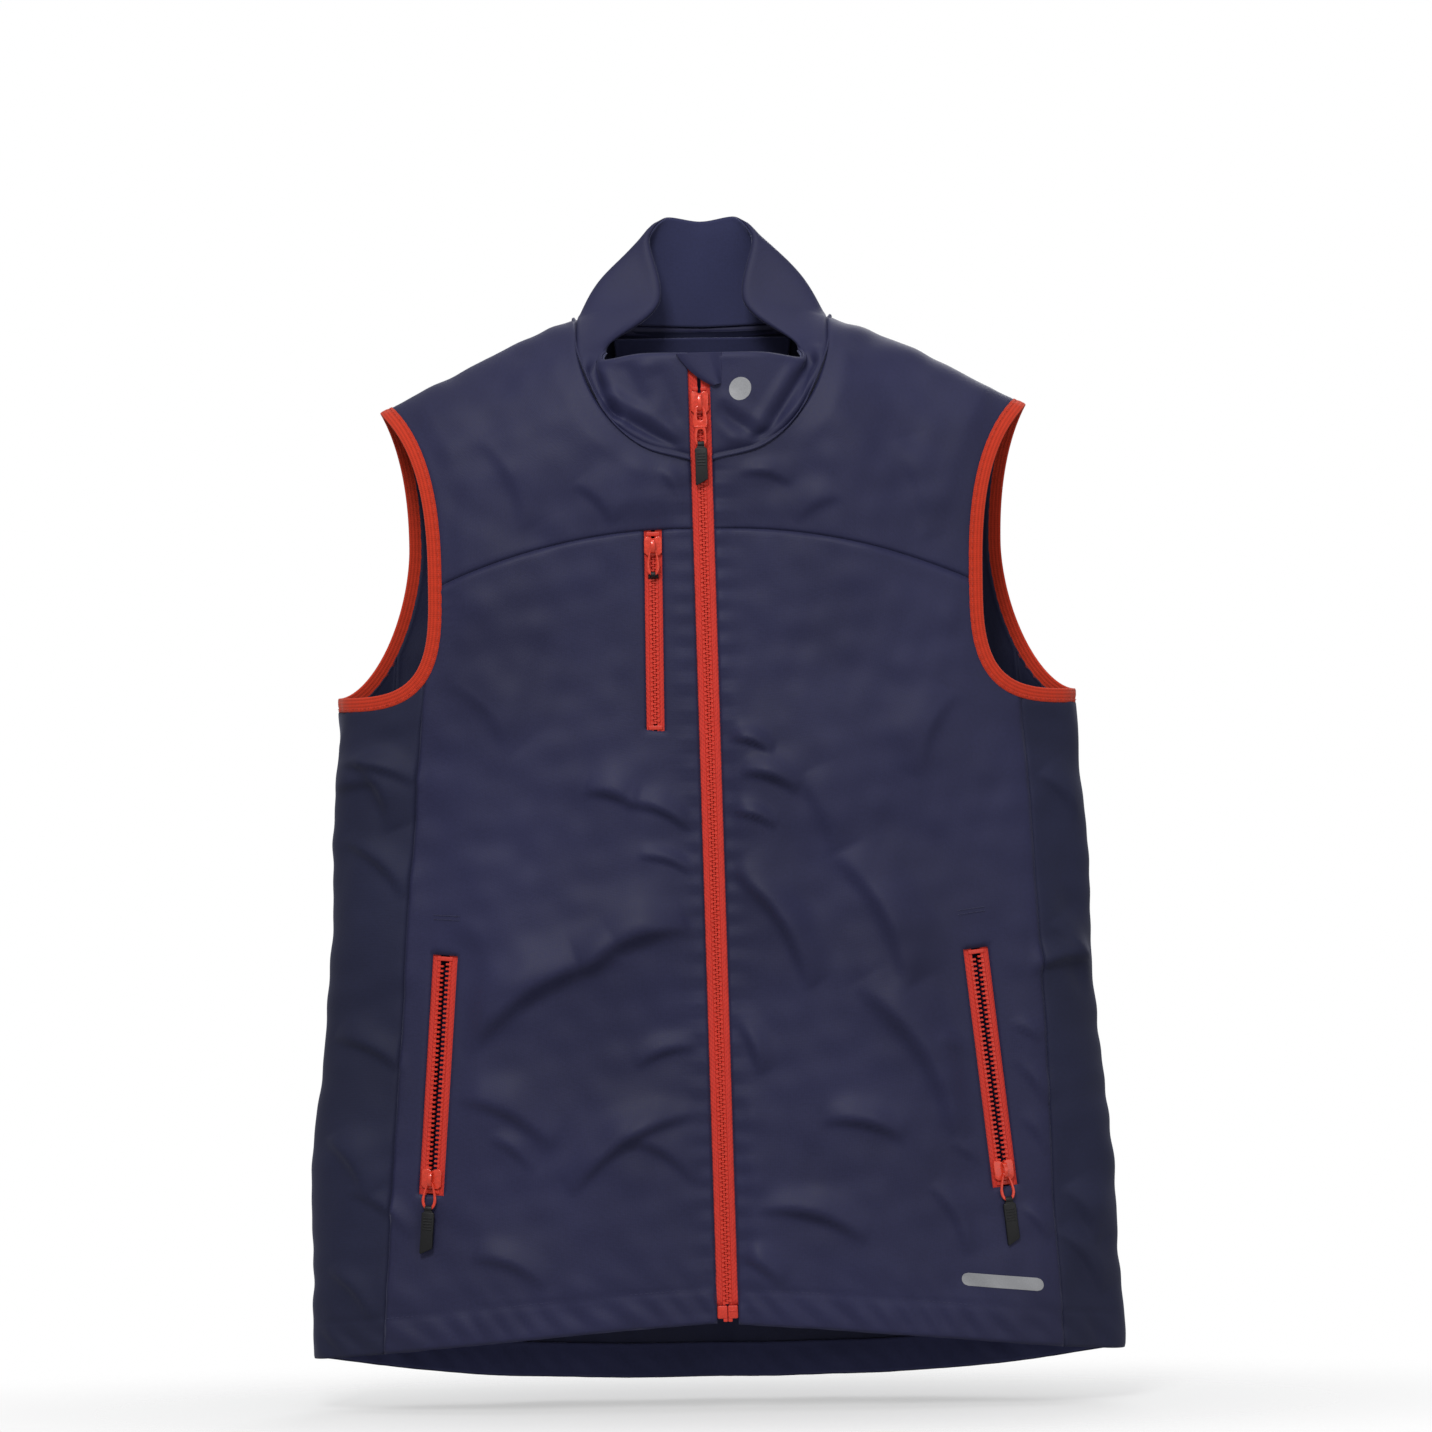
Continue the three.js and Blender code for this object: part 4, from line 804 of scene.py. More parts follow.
def moulded(name, colour, roughness, grain, **shader):
    """A moulded or coated solid: an even gloss broken by slight unevenness and rubbed, paler high spots."""
    material, tree, surface = new_material(name, Roughness=roughness, **shader)
    if tree is None:
        return material
    spots = noise(tree, add_node(tree, "ShaderNodeTexCoord"), "Object", grain, 4.0)
    shades(tree, surface, spots, scaled(colour, 0.88), scaled(colour, 1.1))
    gloss(tree, surface, spots, roughness - 0.06, roughness + 0.1, 0.3, 0.7)
    bumps(tree, surface, (spots, 0.08, 0.0002))
    return material


def acetal(colour):
    """Injection-moulded acetal teeth: smooth with a soft gloss."""
    return moulded("Moulded acetal", colour, 0.36, 900.0, IOR=1.48, Specular_IOR_Level=0.5)


def enamel(colour):
    """Cast zinc under baked enamel: a glossy coat over an even colour."""
    return moulded("Enamelled zinc", colour, 0.24, 500.0, Metallic=0.1, Coat_Weight=0.6, Coat_Roughness=0.12)


def pvc_rubber(colour):
    """Moulded soft PVC: near black with a dull sheen."""
    return moulded("Moulded rubber", colour, 0.5, 700.0, IOR=1.53, Specular_IOR_Level=0.45)


def transfer_film(colour):
    """A heat-pressed reflective film: fine glass beads in a grey binder, a little metallic."""
    return moulded("Reflective transfer", colour, 0.42, 2500.0, Metallic=0.25, Specular_IOR_Level=0.5)


def sewing_thread(name, colour):
    """Spun polyester thread with a slight lustre."""
    return moulded(name, colour, 0.6, 1500.0, Sheen_Weight=0.3, Sheen_Roughness=0.4)


def knit_mesh(colour):
    """Warp-knitted pocket mesh: its eyes are drawn as dark dimples 1.8 mm apart."""
    material, tree, surface = new_material("Knitted mesh", Roughness=0.9, Specular_IOR_Level=0.15)
    if tree is None:
        return material
    place = add_node(tree, "ShaderNodeTexCoord")
    eyes = add_node(tree, "ShaderNodeTexVoronoi", {}, {"Vector": place.outputs["UV"], "Scale": 1 / 0.0018})
    shades(tree, surface, eyes.outputs["Distance"], scaled(colour, 0.4), colour, 0.1, 0.45)
    bumps(tree, surface, (eyes.outputs["Distance"], 0.5, 0.0006))
    return material


# ---------------------------------------------------------------- cloth panels
def seam_relief(points, sides):
    """How far a panel turns down along its edges; sides gives the depth at left, right, top and bottom."""
    u, v, _ = lengths(points)
    left, right, top, bottom = sides
    down = groove(u, left) + groove(u[:, -1:] - u, right)
    return down + groove(v, top) + groove(v[-1:] - v, bottom)


def panel(node, torso, x, z, side, sides, material, keep=None, extra=0.0):
    """A torso panel from its grid of x and z: smooth surface, plus the relief, less the turned edges."""
    flat = torso.point(x, z, side)
    normal = torso.normal(flat, side)
    height = torso.relief(flat, side) - seam_relief(flat, sides) + extra
    return raised_cloth(node, flat, normal, height, torso.cloth, material, keep=keep)


def front_body(torso, wearer, material):
    """From the main zip out to the armhole and side seam; grid lines follow the pocket slots' sides."""
    hand = HANDS[wearer]
    top, hem = torso.seam_top[wearer], torso.seam_hem[wearer]
    share = torso.armhole_share(top, "front")
    seam_top_z = float(torso.armhole(np.array(share), "front")[1])
    names = ("hand_zip_" + wearer, "chest_zip" if hand < 0 else "")
    slots = [opening for opening in torso.openings if opening.name in names]
    slots.sort(key=lambda o: abs(o.origin[0]))
    rows, turn = 236, 0.36
    v = np.linspace(0, 1, rows + 1)[:, None]
    x_arm, z_arm = torso.armhole(mix(0.5, share, np.clip(v / turn, 0, 1)), "front")
    z_seam = mix(seam_top_z, torso.front_hem(hem), (v - turn) / (1 - turn))
    x_outer = np.where(v < turn, x_arm, torso.seam_x(z_seam, top, hem, seam_top_z) - 0.3)
    z_outer = np.where(v < turn, z_arm, z_seam)
    z_inner = mix(torso.yoke_inner_z, torso.front_hem(0.0), v)
    x_inner = hand * torso.zip_x(z_inner) + OPENING_HALF["main_zip"]
    lines = [x_inner]
    for slot in slots:
        lean = slot.axes[2][0] / slot.axes[2][2]
        for way in (-1, 1):
            x_line = np.full_like(z_inner, abs(slot.origin[0]))
            for _ in range(3):
                part = (x_line - x_inner) / (x_outer - x_inner)
                z_line = mix(z_inner, z_outer, part)
                x_line = hand * (slot.origin[0] + (z_line - slot.origin[2]) * lean)
                x_line = x_line + way * slot.half / slot.axes[0][0]
            lines.append(x_line)
    lines.append(x_outer)
    cell = 2.2
    counts = [max(4, int(np.median(b - a) / cell)) for a, b in zip(lines, lines[1:])]
    x = np.concatenate(
        [a + (b - a) * np.linspace(0, 1, n + 1)[None, (0 if k == 0 else 1):]
         for k, (a, b, n) in enumerate(zip(lines, lines[1:], counts))], 1)
    u = (x - x_inner) / (x_outer - x_inner)
    arch = torso.yoke_arch * 4 * u * (1 - u) * (1 - v) ** 4
    hem_bow = (torso.front_hem(x) - mix(torso.front_hem(0.0), torso.front_hem(hem), u)) * v**4
    z = mix(z_inner, z_outer, u) + arch + hem_bow
    keep = np.ones((rows, x.shape[1] - 1), bool)
    edges = np.cumsum([0] + counts)
    turned_in = np.zeros_like(x)
    for k, slot in enumerate(slots):
        first, last = edges[2 * k + 1], edges[2 * k + 2]
        local = slot.local(torso.point(hand * x, z, -1))
        middle = local[:, (first + last) // 2, 2]
        top_row, low_row = np.abs(middle).argmin(), np.abs(middle + slot.length).argmin()
        across = slice(first, last + 1)
        z[top_row, across] -= local[top_row, across, 2]
        z[low_row, across] -= slot.length + local[low_row, across, 2]
        keep[top_row:low_row, first:last] = False
        turned_in = turned_in - groove(slot.distance(torso.point(hand * x, z, -1)), 0.9, 3.5)
    return panel("front_body_" + wearer, torso, hand * x, z, -1, (0.9, 0.9, 0.8, 0.8), material,
                 keep, turned_in)


def front_yoke(torso, wearer, material):
    """From the neck seam and zip out to the armhole, with an arched seam below."""
    hand, turn = HANDS[wearer], 0.72
    v = np.linspace(0, 1, 84)[:, None]
    u = np.linspace(0, 1, 76)[None]
    x_neck, z_neck = torso.neck_edge(np.clip(v / turn, 0, 1), torso.front_neck_drop, 0.5)
    x_neck = np.maximum(x_neck, hand * torso.zip_x(z_neck) + OPENING_HALF["main_zip"])
    z_zip = mix(torso.front_neck_z - 0.5, torso.yoke_inner_z, (v - turn) / (1 - turn))
    x_inner = np.where(v < turn, x_neck, hand * torso.zip_x(z_zip) + OPENING_HALF["main_zip"])
    z_inner = np.where(v < turn, z_neck, z_zip)
    x_outer, z_outer = torso.armhole(v / 2, "front")
    x = mix(x_inner, x_outer, u)
    z = mix(z_inner, z_outer, u) + torso.yoke_arch * 4 * u * (1 - u) * v**4 + 0.25 * v**8
    return panel("front_yoke_" + wearer, torso, hand * x, z, -1, (0.8, 0.9, 0.5, 0.8), material)


def side_panel(torso, wearer, material):
    """Round the side edge from the front seam to the back seam; x = W sin(turn 90 degrees)."""
    hand = HANDS[wearer]
    top, hem = torso.seam_top[wearer], torso.seam_hem[wearer]
    back_top, back_hem = torso.back_seam
    front_share, back_share = torso.armhole_share(top, "front"), torso.armhole_share(back_top, "back")
    front_top_z = float(torso.armhole(np.array(front_share), "front")[1])
    back_top_z = float(torso.armhole(np.array(back_share), "back")[1])

    def turn_of(x, z):
        return 2 / np.pi * np.arcsin(np.clip(x / torso.half_width(z), 0, 1))

    u = np.linspace(0, 1, 73)[None]
    v = np.linspace(0, 1, 200)[:, None]
    ahead = u < 0.5
    x_front, z_front = torso.armhole(mix(front_share, 1, np.clip(2 * u, 0, 1)), "front")
    x_back, z_back = torso.armhole(mix(1, back_share, np.clip(2 * u - 1, 0, 1)), "back")
    x0, z0 = np.where(ahead, x_front, x_back), np.where(ahead, z_front, z_back)
    turn0 = np.where(ahead, turn_of(x0, z0), 2 - turn_of(x0, z0))
    front1, back1 = turn_of(hem, torso.side_hem_z), 2 - turn_of(back_hem, torso.side_hem_z)
    turn1 = np.where(ahead, mix(front1, 1, 2 * u), mix(1, back1, 2 * u - 1))
    x_hem = torso.hem_half * np.sin(turn1 * np.pi / 2)
    z = mix(z0, np.where(turn1 < 1, torso.front_hem(x_hem), torso.back_hem(x_hem)), v)
    front_turn = turn_of(torso.seam_x(z, top, hem, front_top_z), z)
    back_turn = 2 - turn_of(torso.seam_x(z, back_top, back_hem, back_top_z), z)
    even = np.where(ahead, mix(front_turn, 1, 2 * u), mix(1, back_turn, 2 * u - 1))
    x, side = torso.around(mix(turn0, even, smooth(v / 0.08)), z)
    return panel("side_panel_" + wearer, torso, hand * x, z, side, (0.9, 0.9, 0.9, 0.5), material)


def back_panel(torso, material):
    """One piece across the back, from the shoulder line and neck seam down to the dropped tail."""
    back_top, back_hem = torso.back_seam
    share = torso.armhole_share(back_top, "back")
    top_z = float(torso.armhole(np.array(share), "back")[1])
    turn = 0.56
    v = np.linspace(0, 1, 250)[:, None]
    u = np.linspace(-1, 1, 171)[None]
    x_arm, z_arm = torso.armhole(share * np.clip(v / turn, 0, 1), "back")
    z_seam = mix(top_z, torso.back_hem(back_hem), (v - turn) / (1 - turn))
    x_outer = np.where(v < turn, x_arm, torso.seam_x(z_seam, back_top, back_hem, top_z) - 0.3)
    z_outer = np.where(v < turn, z_arm, z_seam)
    inside = np.clip(np.abs(torso.shoulder_half * u) / torso.neck_half, 0, 1)
    neck_z = torso.neck_point_z - 0.6 - torso.back_neck_drop * (1 - inside**2.2) ** 0.4545
    top = np.where(inside < 1, neck_z, torso.ridge_z(torso.shoulder_half * u)) - torso.tip_z
    x = x_outer * u
    tail = (torso.back_hem(x) - torso.back_hem(x_outer)) * smooth((v - 0.5) / 0.5)
    z = z_outer + top * (1 - smooth(v / 0.7)) + tail
    return panel("back_panel", torso, x, z, 1, (0.9, 0.9, 0.5, 0.5), material)


# ---------------------------------------------------------------- collar
def spline(points, u):
    """A centripetal Catmull-Rom curve through points, at u from 0 to 1, evenly by span."""
    points = np.asarray(points, float)
    padded = np.vstack([2 * points[0] - points[1], points, 2 * points[-1] - points[-2]])
    spans = len(points) - 1
    k = np.minimum((np.asarray(u) * spans).astype(int), spans - 1)
    t = (np.asarray(u) * spans - k)[..., None]
    p0, p1, p2, p3 = (padded[k + n] for n in range(4))
    d0, d1, d2 = (
        np.sqrt(np.linalg.norm(b - a, axis=-1, keepdims=True)) for a, b in ((p0, p1), (p1, p2), (p2, p3)))
    m1 = ((p1 - p0) / d0 - (p2 - p0) / (d0 + d1) + (p2 - p1) / d1) * d1
    m2 = ((p2 - p1) / d1 - (p3 - p1) / (d1 + d2) + (p3 - p2) / d2) * d1
    c2, c3 = -3 * p1 + 3 * p2 - 2 * m1 - m2, 2 * p1 - 2 * p2 + m1 + m2
    return p1 + m1 * t + c2 * t * t + c3 * t**3


class Collar:
    """A stand collar ruled between its seam and its top edge, with the sides of the back bowed out."""

    bulge = 8
    back_rise = 96
    top_shares = ((0.49, -0.97, 0), (0.8, -0.77, -0.03), (0.744, -0.38, 0.083), (0.337, 0.08, 0.417),
                  (0.419, 0.54, 0.917), (0.302, 0.79, 1.03), (0, 0.865, 1))
    # Valleys in the front where the stand buckles: from (x, z) to (x, z), then width and depth.
    creases = ((-76, -44, -62, -74, 4.0, 2.6), (-62, -70, -20, -96, 4.5, 3.4), (74, -38, 40, -92, 4.2, 3.4),
               (12, -72, 40, -91, 4.5, 2.6), (-52, -40, -40, -60, 6, 1.2), (-30, -48, -16, -74, 6, 1.4),
               (30, -96, 66, -84, 4.5, 1.6))

    def __init__(self, torso):
        self.torso = torso
        self.seam, self.top = [], []
        for hand in (-1, 1):
            seam, top = self.half(hand)
            if hand > 0:
                seam, top = seam[:-1][::-1], top[:-1][::-1]
            self.seam += seam
            self.top += top

    def half(self, hand):
        """Stations from the zip's edge round to the centre of the back."""
        torso, half = self.torso, OPENING_HALF["main_zip"]

        def seam_point(t, drop, side):
            x, z = torso.neck_edge(np.array(t), drop)
            return torso.point(hand * x, z, side)

        def at_zip(z, y=None):
            x = torso.zip_x(z) + hand * half
            return torso.point(x, z, -1) if y is None else np.array([x, y, z])

        fronts = [seam_point(t, torso.front_neck_drop, -1) for t in (0.84, 0.69, 0.42, 0.0)]
        backs = [seam_point(t, torso.back_neck_drop, 1) for t in (0.35, 0.75, 1.0)]
        top = [at_zip(torso.collar_top_z, -torso.depth[-1] - 1)]
        for across, deep, rise in self.top_shares:
            y = deep * torso.depth[-1 if deep < 0 else 1]
            z = torso.collar_top_z + rise * self.back_rise
            top.append(np.array([hand * across * torso.neck_half, y, z]))
        return [at_zip(torso.front_neck_z)] + fronts + backs, top

    def middle(self, u, v):
        low, high = spline(self.seam, u), spline(self.top, u)
        point = mix(low, high, v[..., None])
        out = unit(point * np.array([1, 1, 0]))
        off_centre = np.minimum(1, 2 * np.abs(point[..., 0]) / self.torso.neck_half)
        behind = smooth((low[..., 1] + 35) / 40) * off_centre
        return point + out * (self.bulge * np.sin(np.pi * v) * behind)[..., None]

    def normal(self, u, v):
        step = 0.004
        along = self.middle(np.minimum(1, u + step), v) - self.middle(np.maximum(0, u - step), v)
        up = self.middle(u, np.minimum(1, v + step)) - self.middle(u, np.maximum(0, v - step))
        return unit(np.cross(up, along))

    def relief(self, points):
        """Valleys along the creases and slow waves, level beside the zip."""
        x, z = points[..., 0], points[..., 2]
        ahead = smooth((-points[..., 1] - 20) / 20)
        height = np.zeros(x.shape)
        for x0, z0, x1, z1, width, deep in self.creases:
            run = np.hypot(x1 - x0, z1 - z0)
            along = np.clip(((x - x0) * (x1 - x0) + (z - z0) * (z1 - z0)) / run**2, 0, 1)
            away = np.hypot(x - x0 - along * (x1 - x0), z - z0 - along * (z1 - z0))
            height = height - deep * ahead * np.exp(-((away / width) ** 2))
            height = height + 0.5 * deep * ahead * np.exp(-(((away - 2.2 * width) / width) ** 2))
        waves = 0.9 * np.sin(x / 13.0 + z / 19.0) + 0.7 * np.sin(z / 15.0 - x / 31.0 + 1.0)
        beside = smooth((np.abs(x - self.torso.zip_x(z)) - 7) / 14)
        return (height + 0.6 * waves) * np.where(points[..., 1] < 0, beside, 1) * self.torso.fold_scale


def collar_layer(collar, node, inner, thickness, material):
    """Outer layer: it rolls in over the top edge. Inner layer: parallel to it, and short of the zip tapes."""
    gap = 3.0
    rows, columns = 44, 300
    trim = TAPE_HALF - OPENING_HALF["main_zip"] + FACING_CLEAR if inner else 0.0
    first_span = np.linalg.norm(collar.seam[0] - collar.seam[1]) * (len(collar.seam) - 1)
    u = np.linspace(trim / first_span, 1 - trim / first_span, columns + 1)[None] * np.ones((rows + 1, 1))
    v = np.linspace(0.03 if inner else -0.05, 1, rows + 1)[:, None] * np.ones((1, columns + 1))
    flat = collar.middle(u, v)
    normal = collar.normal(u, v)
    tall = np.linalg.norm(spline(collar.top, u) - spline(collar.seam, u), axis=-1)
    from_top, from_seam = (1 - v) * tall, v * tall
    keep = smooth(from_top / 10) * smooth(from_seam / 8)
    height = collar.relief(flat) * keep * (0.6 if inner else 1.0)
    if inner:
        height = height - gap
    else:
        height = height - groove(from_top, gap - 1.0, 3.2) - groove(from_seam, 1.6, 5.0)
    return raised_cloth(node, flat, normal, height, thickness, material)


# ---------------------------------------------------------------- armhole binding
def binding(torso, wearer, material):
    """Fold-over elastic carried round the armhole: a flattened tube with a soft ridge along its fold."""
    hand, width, thick = HANDS[wearer], 9.6, 2.4
    loop = torso.armhole_loop(hand, 200)
    loop = np.vstack([loop, loop[:1]])
    run = distance_along(loop)
    count, sides = 460, 28
    at = np.linspace(0, run[-1], count, endpoint=False)
    middle = np.stack([np.interp(at, run, loop[:, k]) for k in range(3)], 1)
    for _ in range(6):
        middle = (np.roll(middle, 1, 0) + middle + np.roll(middle, -1, 0)) / 3
    along = unit(np.roll(middle, -1, 0) - np.roll(middle, 1, 0))
    normal = torso.normal(middle, np.sign(middle[:, 1]))
    into = unit(np.cross(along, normal)) * -hand
    out = unit(np.cross(into, along))
    out = out * np.sign(np.sum(out * normal, 1, keepdims=True))
    turn = np.linspace(0, 2 * np.pi, sides, endpoint=False)
    across = width / 2 + width / 2 * np.sign(np.cos(turn)) * np.abs(np.cos(turn)) ** 0.55
    rise = thick / 2 * np.sign(np.sin(turn)) * np.abs(np.sin(turn)) ** 0.6
    rise = rise * (1 - 0.35 * np.exp(-(((across - 2.4) / 0.9) ** 2)) * (rise > 0))
    ripple = 0.22 * np.sin(2 * np.pi * at / 8.6)[:, None] * (1 - across / width)[None] * torso.fold_scale
    inside = 1.4  # the band starts this far inside the cloth's edge
    points = middle[:, None] + into[:, None] * (across[None, :, None] - inside)
    points = points + out[:, None] * (rise[None] + ripple)[..., None]
    points = np.vstack([points, points[:1]])
    side = points - (middle[:, None] + into[:, None] * (width / 2 - inside))[np.r_[0:count, 0]]
    around = np.concatenate([[0], np.cumsum(np.hypot(np.diff(across), np.diff(rise)))])
    uv = np.stack(np.broadcast_arrays(around[None], np.append(at, run[-1])[:, None]), -1) * MM
    quads = grid_quads(count, sides, ring=True) % (count * sides)
    node = "armhole_binding_" + wearer
    piece = quad_object(node + "_elastic", points[:count], quads, uv[:count], side[:count])
    finish_piece(piece, material, "jacket", node)
    return middle, out, into


# ---------------------------------------------------------------- facings, guards and pocket bags
def hem_facing(torso, material, wearer=None):
    """The turned-up hem inside the fronts, or one strip round the sides and back."""
    channel, back = torso.hem_channel, wearer is None
    v = np.linspace(0, 1, 14)[:, None]
    if back:
        low_turn = 2 / np.pi * math.asin(torso.seam_hem["left"] / torso.hem_half) + 0.02
        high_turn = 4 - 2 / np.pi * math.asin(torso.seam_hem["right"] / torso.hem_half) - 0.02
        turn = np.linspace(low_turn, high_turn, 260)[None]
        x = torso.hem_half * np.sin(turn * np.pi / 2)
        side = np.where((turn < 1) | (turn > 3), -1, 1)
        low = np.where(side < 0, torso.front_hem(x), torso.back_hem(x))
        node = "hem_facing_back"
    else:
        hand = HANDS[wearer]
        z_low = float(corner("main_zip_pin", 0, 2))
        inner = hand * torso.zip_x(z_low) + TAPE_HALF + FACING_CLEAR
        x = hand * np.linspace(inner, torso.seam_hem[wearer] - FACING_CLEAR, 110)[None]
        side, low = -1, torso.front_hem(x)
        node = "hem_facing_front_" + wearer
    z = low + 1 + v * (channel - 1)
    x = x * np.ones_like(v)
    flat = torso.point(x, z, side * np.ones_like(z))
    normal = torso.normal(flat, side)
    height = torso.relief(flat, side * np.ones_like(z)) - 1.8 - 0.5 * np.sin(np.pi * v)
    return raised_cloth(node, flat, normal, height, torso.facing, material)


def neck_facing(torso, material):
    """Behind the back neck seam; it narrows a little downwards."""
    inside, below, tall = 24, 4, 58
    half = torso.neck_half - inside
    top_z = torso.neck_point_z - torso.back_neck_drop - below
    u = np.linspace(-1, 1, 80)[None]
    v = np.linspace(0, 1, 34)[:, None]
    x = half * u * (1 - 0.1 * v)
    z = mix(top_z, torso.neck_point_z - tall, v) + 0 * x
    flat = torso.point(x, z, 1)
    normal = torso.normal(flat, 1)
    behind = 3.9  # from the shell's middle to the facing's
    height = -behind - 0.4 * np.sin(x / 9.0) * np.sin(np.pi * v)
    height = height - groove(np.abs(np.abs(u) - 1) * half, 0.4, 3) + 0 * z
    return raised_cloth("back_neck_facing", flat, normal, height, torso.facing, material)


def pocket_bag(torso, node, hand, material):
    """A shallow dish behind the front, with its rim on the cloth; its depth is sin(90 degrees near / ramp)."""
    low, high = (np.array(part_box(node)[k]) / MM for k in (0, 1))
    thickness = 0.72 * torso.facing
    x0, x1 = (high[0], low[0]) if hand < 0 else (low[0], high[0])
    ramp, deep = (14, 8.5) if node.startswith("hand") else (9, 7.5)
    u = np.linspace(0, 1, 90)[None]
    v = np.linspace(0, 1, 110)[:, None]
    across, up = u * abs(x1 - x0), v * (high[2] - low[2])

    def wall(near, whole):
        return np.sin(np.pi / 2 * np.clip(np.minimum(near, whole - near) / ramp, 0, 1))

    x = mix(x0, x1, u) + 0 * v
    z = mix(low[2], high[2], v) + 0 * u
    rise = wall(across, abs(x1 - x0)) * wall(up, high[2] - low[2])
    flat = torso.point(x, z, -1)
    normal = torso.normal(flat, -1)
    ripple = 0.5 * rise * np.sin(x / 11.0 + 0.6 * np.sin(z / 17.0))
    lift = np.minimum(torso.relief(flat, -1), 1.0)
    height = lift - (1.8 + deep * rise) + ripple
    return raised_cloth(node, flat, normal, height, thickness, material, "_mesh")


def zip_strip(name, node, outline, rows, columns, thickness, material, kind="_cloth", turned_under=0.0):
    """A strip of cloth in a zip's own axes; outline(u, v) gives x, y and z."""
    u = np.linspace(0, 1, columns + 1)[None] * np.ones((rows + 1, 1))
    v = np.linspace(0, 1, rows + 1)[:, None] * np.ones((1, columns + 1))
    x, y, z = outline(u, v)
    axes, origin = zip_axes(name), local_origin(name) / MM
    points = np.stack([x, y, z], -1) @ axes + origin
    outward = np.broadcast_to(-axes[1], points.shape)
    return cloth_piece(node, points, points, outward, thickness, material, kind, None, turned_under)


def wind_flap(torso, material):
    low, high = local_box("main_zip", "inner_wind_flap")
    middle = (low[1] + high[1]) / 2

    def outline(u, v):
        z = mix(high[2], low[2], v)
        return mix(low[0], high[0], u), middle + 0.5 * np.sin(z / 21.0) * np.sin(np.pi * u), z

    return zip_strip("main_zip", "inner_wind_flap", outline, 220, 12, torso.facing, material)


def chin_guard(torso, material):
    """Its free edge is a curve from the top right down to the left; the sewn side lies down on the collar."""
    low, high = local_box("main_zip", "chin_guard")
    ahead = (low[1] + high[1]) / 2

    def outline(u, v):
        left = (1 - v) ** 2 * low[0] + 2 * v * (1 - v) * (-6.5) + v * v * 9.5
        right = mix(16, 15, v)
        z_left = (1 - v) ** 2 * high[2] + 2 * v * (1 - v) * (low[2] * 0.62) + v * v * low[2]
        x = mix(left, right, u)
        z = mix(z_left, mix(high[2], low[2] + 1.5, v), u)
        edge = 0.9 * (1 - np.sin(np.pi / 2 * np.clip(u * 5, 0, 1)))
        bow = 0.9 * np.sin(np.pi * np.clip(1.3 * u, 0, 1))
        return x, ahead + edge - bow + 2.9 * smooth((u - 0.7) / 0.3), z

    return zip_strip("main_zip", "chin_guard", outline, 60, 40, torso.cloth, material)


# ---------------------------------------------------------------- zips
def zip_tape(name, wearer, material):
    """Woven tape with a corded inner edge, a touch wavy between its stitches."""
    node = name + "_tape_" + wearer
    low, high = local_box(name, node)
    hand = HANDS[wearer]
    inner = TOOTH_TIP[name] + 2.2
    outer = max(abs(low[0]), abs(high[0]))
    rows = max(30, int((high[2] - low[2]) / 4))

    def outline(u, v):
        x = hand * mix(inner, outer, u)
        z = mix(high[2], low[2], v)
        cord = -0.35 * np.exp(-((u * (outer - inner) / 1.0) ** 2))
        return x, cord + 0.12 * np.sin(z / 7.0) * np.sin(np.pi * u), z

    thickness = 0.8
    return zip_strip(name, node, outline, rows, 16, thickness, material, "_weave", CORD_ROUND)


def tooth_shell(hand, tip):
    """One moulded tooth, seen from the front: a foot on the tape, a neck, and a wider head at its tip."""
    root = tip + TOOTH_REACH
    half = np.array([(root + 0.4, 1.30), (root - 0.5, 1.26), (root - 1.0, 0.95), (tip + 1.8, 0.62),
                     (tip + 1.1, 0.77), (tip + 0.3, 0.74), (tip, 0.42)])
    outline = np.vstack([half, half[::-1] * np.array([1, -1])]) * np.array([hand, 1])
    if loop_area(outline) < 0:
        outline = outline[::-1]
    rings = [np.insert(inset(outline, 0.22), 1, -1.3, axis=1), np.insert(outline, 1, -1.0, axis=1),
             np.insert(outline, 1, 1.25, axis=1)]
    count = len(outline)
    faces = [list(q) for q in grid_quads(2, count, ring=True)]
    faces += [list(range(count))[::-1], list(range(2 * count, 3 * count))]
    return np.vstack(rings), faces


def tooth_row(name, wearer, pitch, material):
    """Teeth at an even pitch on a bead; the other row's sit half a pitch along, so that closed rows mesh."""
    node = name + "_teeth_" + wearer
    low, high = local_box(name, node)
    hand, tip = HANDS[wearer], TOOTH_TIP[name]
    count = round((high[2] - low[2]) / pitch - 0.5)
    pitch = (high[2] - low[2]) / (count + 0.5)
    z = low[2] + pitch * (0.42 if hand < 0 else 0.92) + pitch * np.arange(count)
    shells = Shells()
    origins = np.stack([np.zeros(count), np.zeros(count), z], 1)
    shells.add(*repeated(tooth_shell(hand, tip), origins, np.eye(3)))
    bead = hand * (tip + TOOTH_REACH + 0.1)
    shells.add(*rounded_box((bead - 0.45, -0.75, low[2]), (bead + 0.45, 0.75, high[2]), 0.3, 0.4))
    piece = shells.piece(node + "_row", local_origin(name), zip_axes(name))
    return finish_piece(piece, material, "jacket", node)


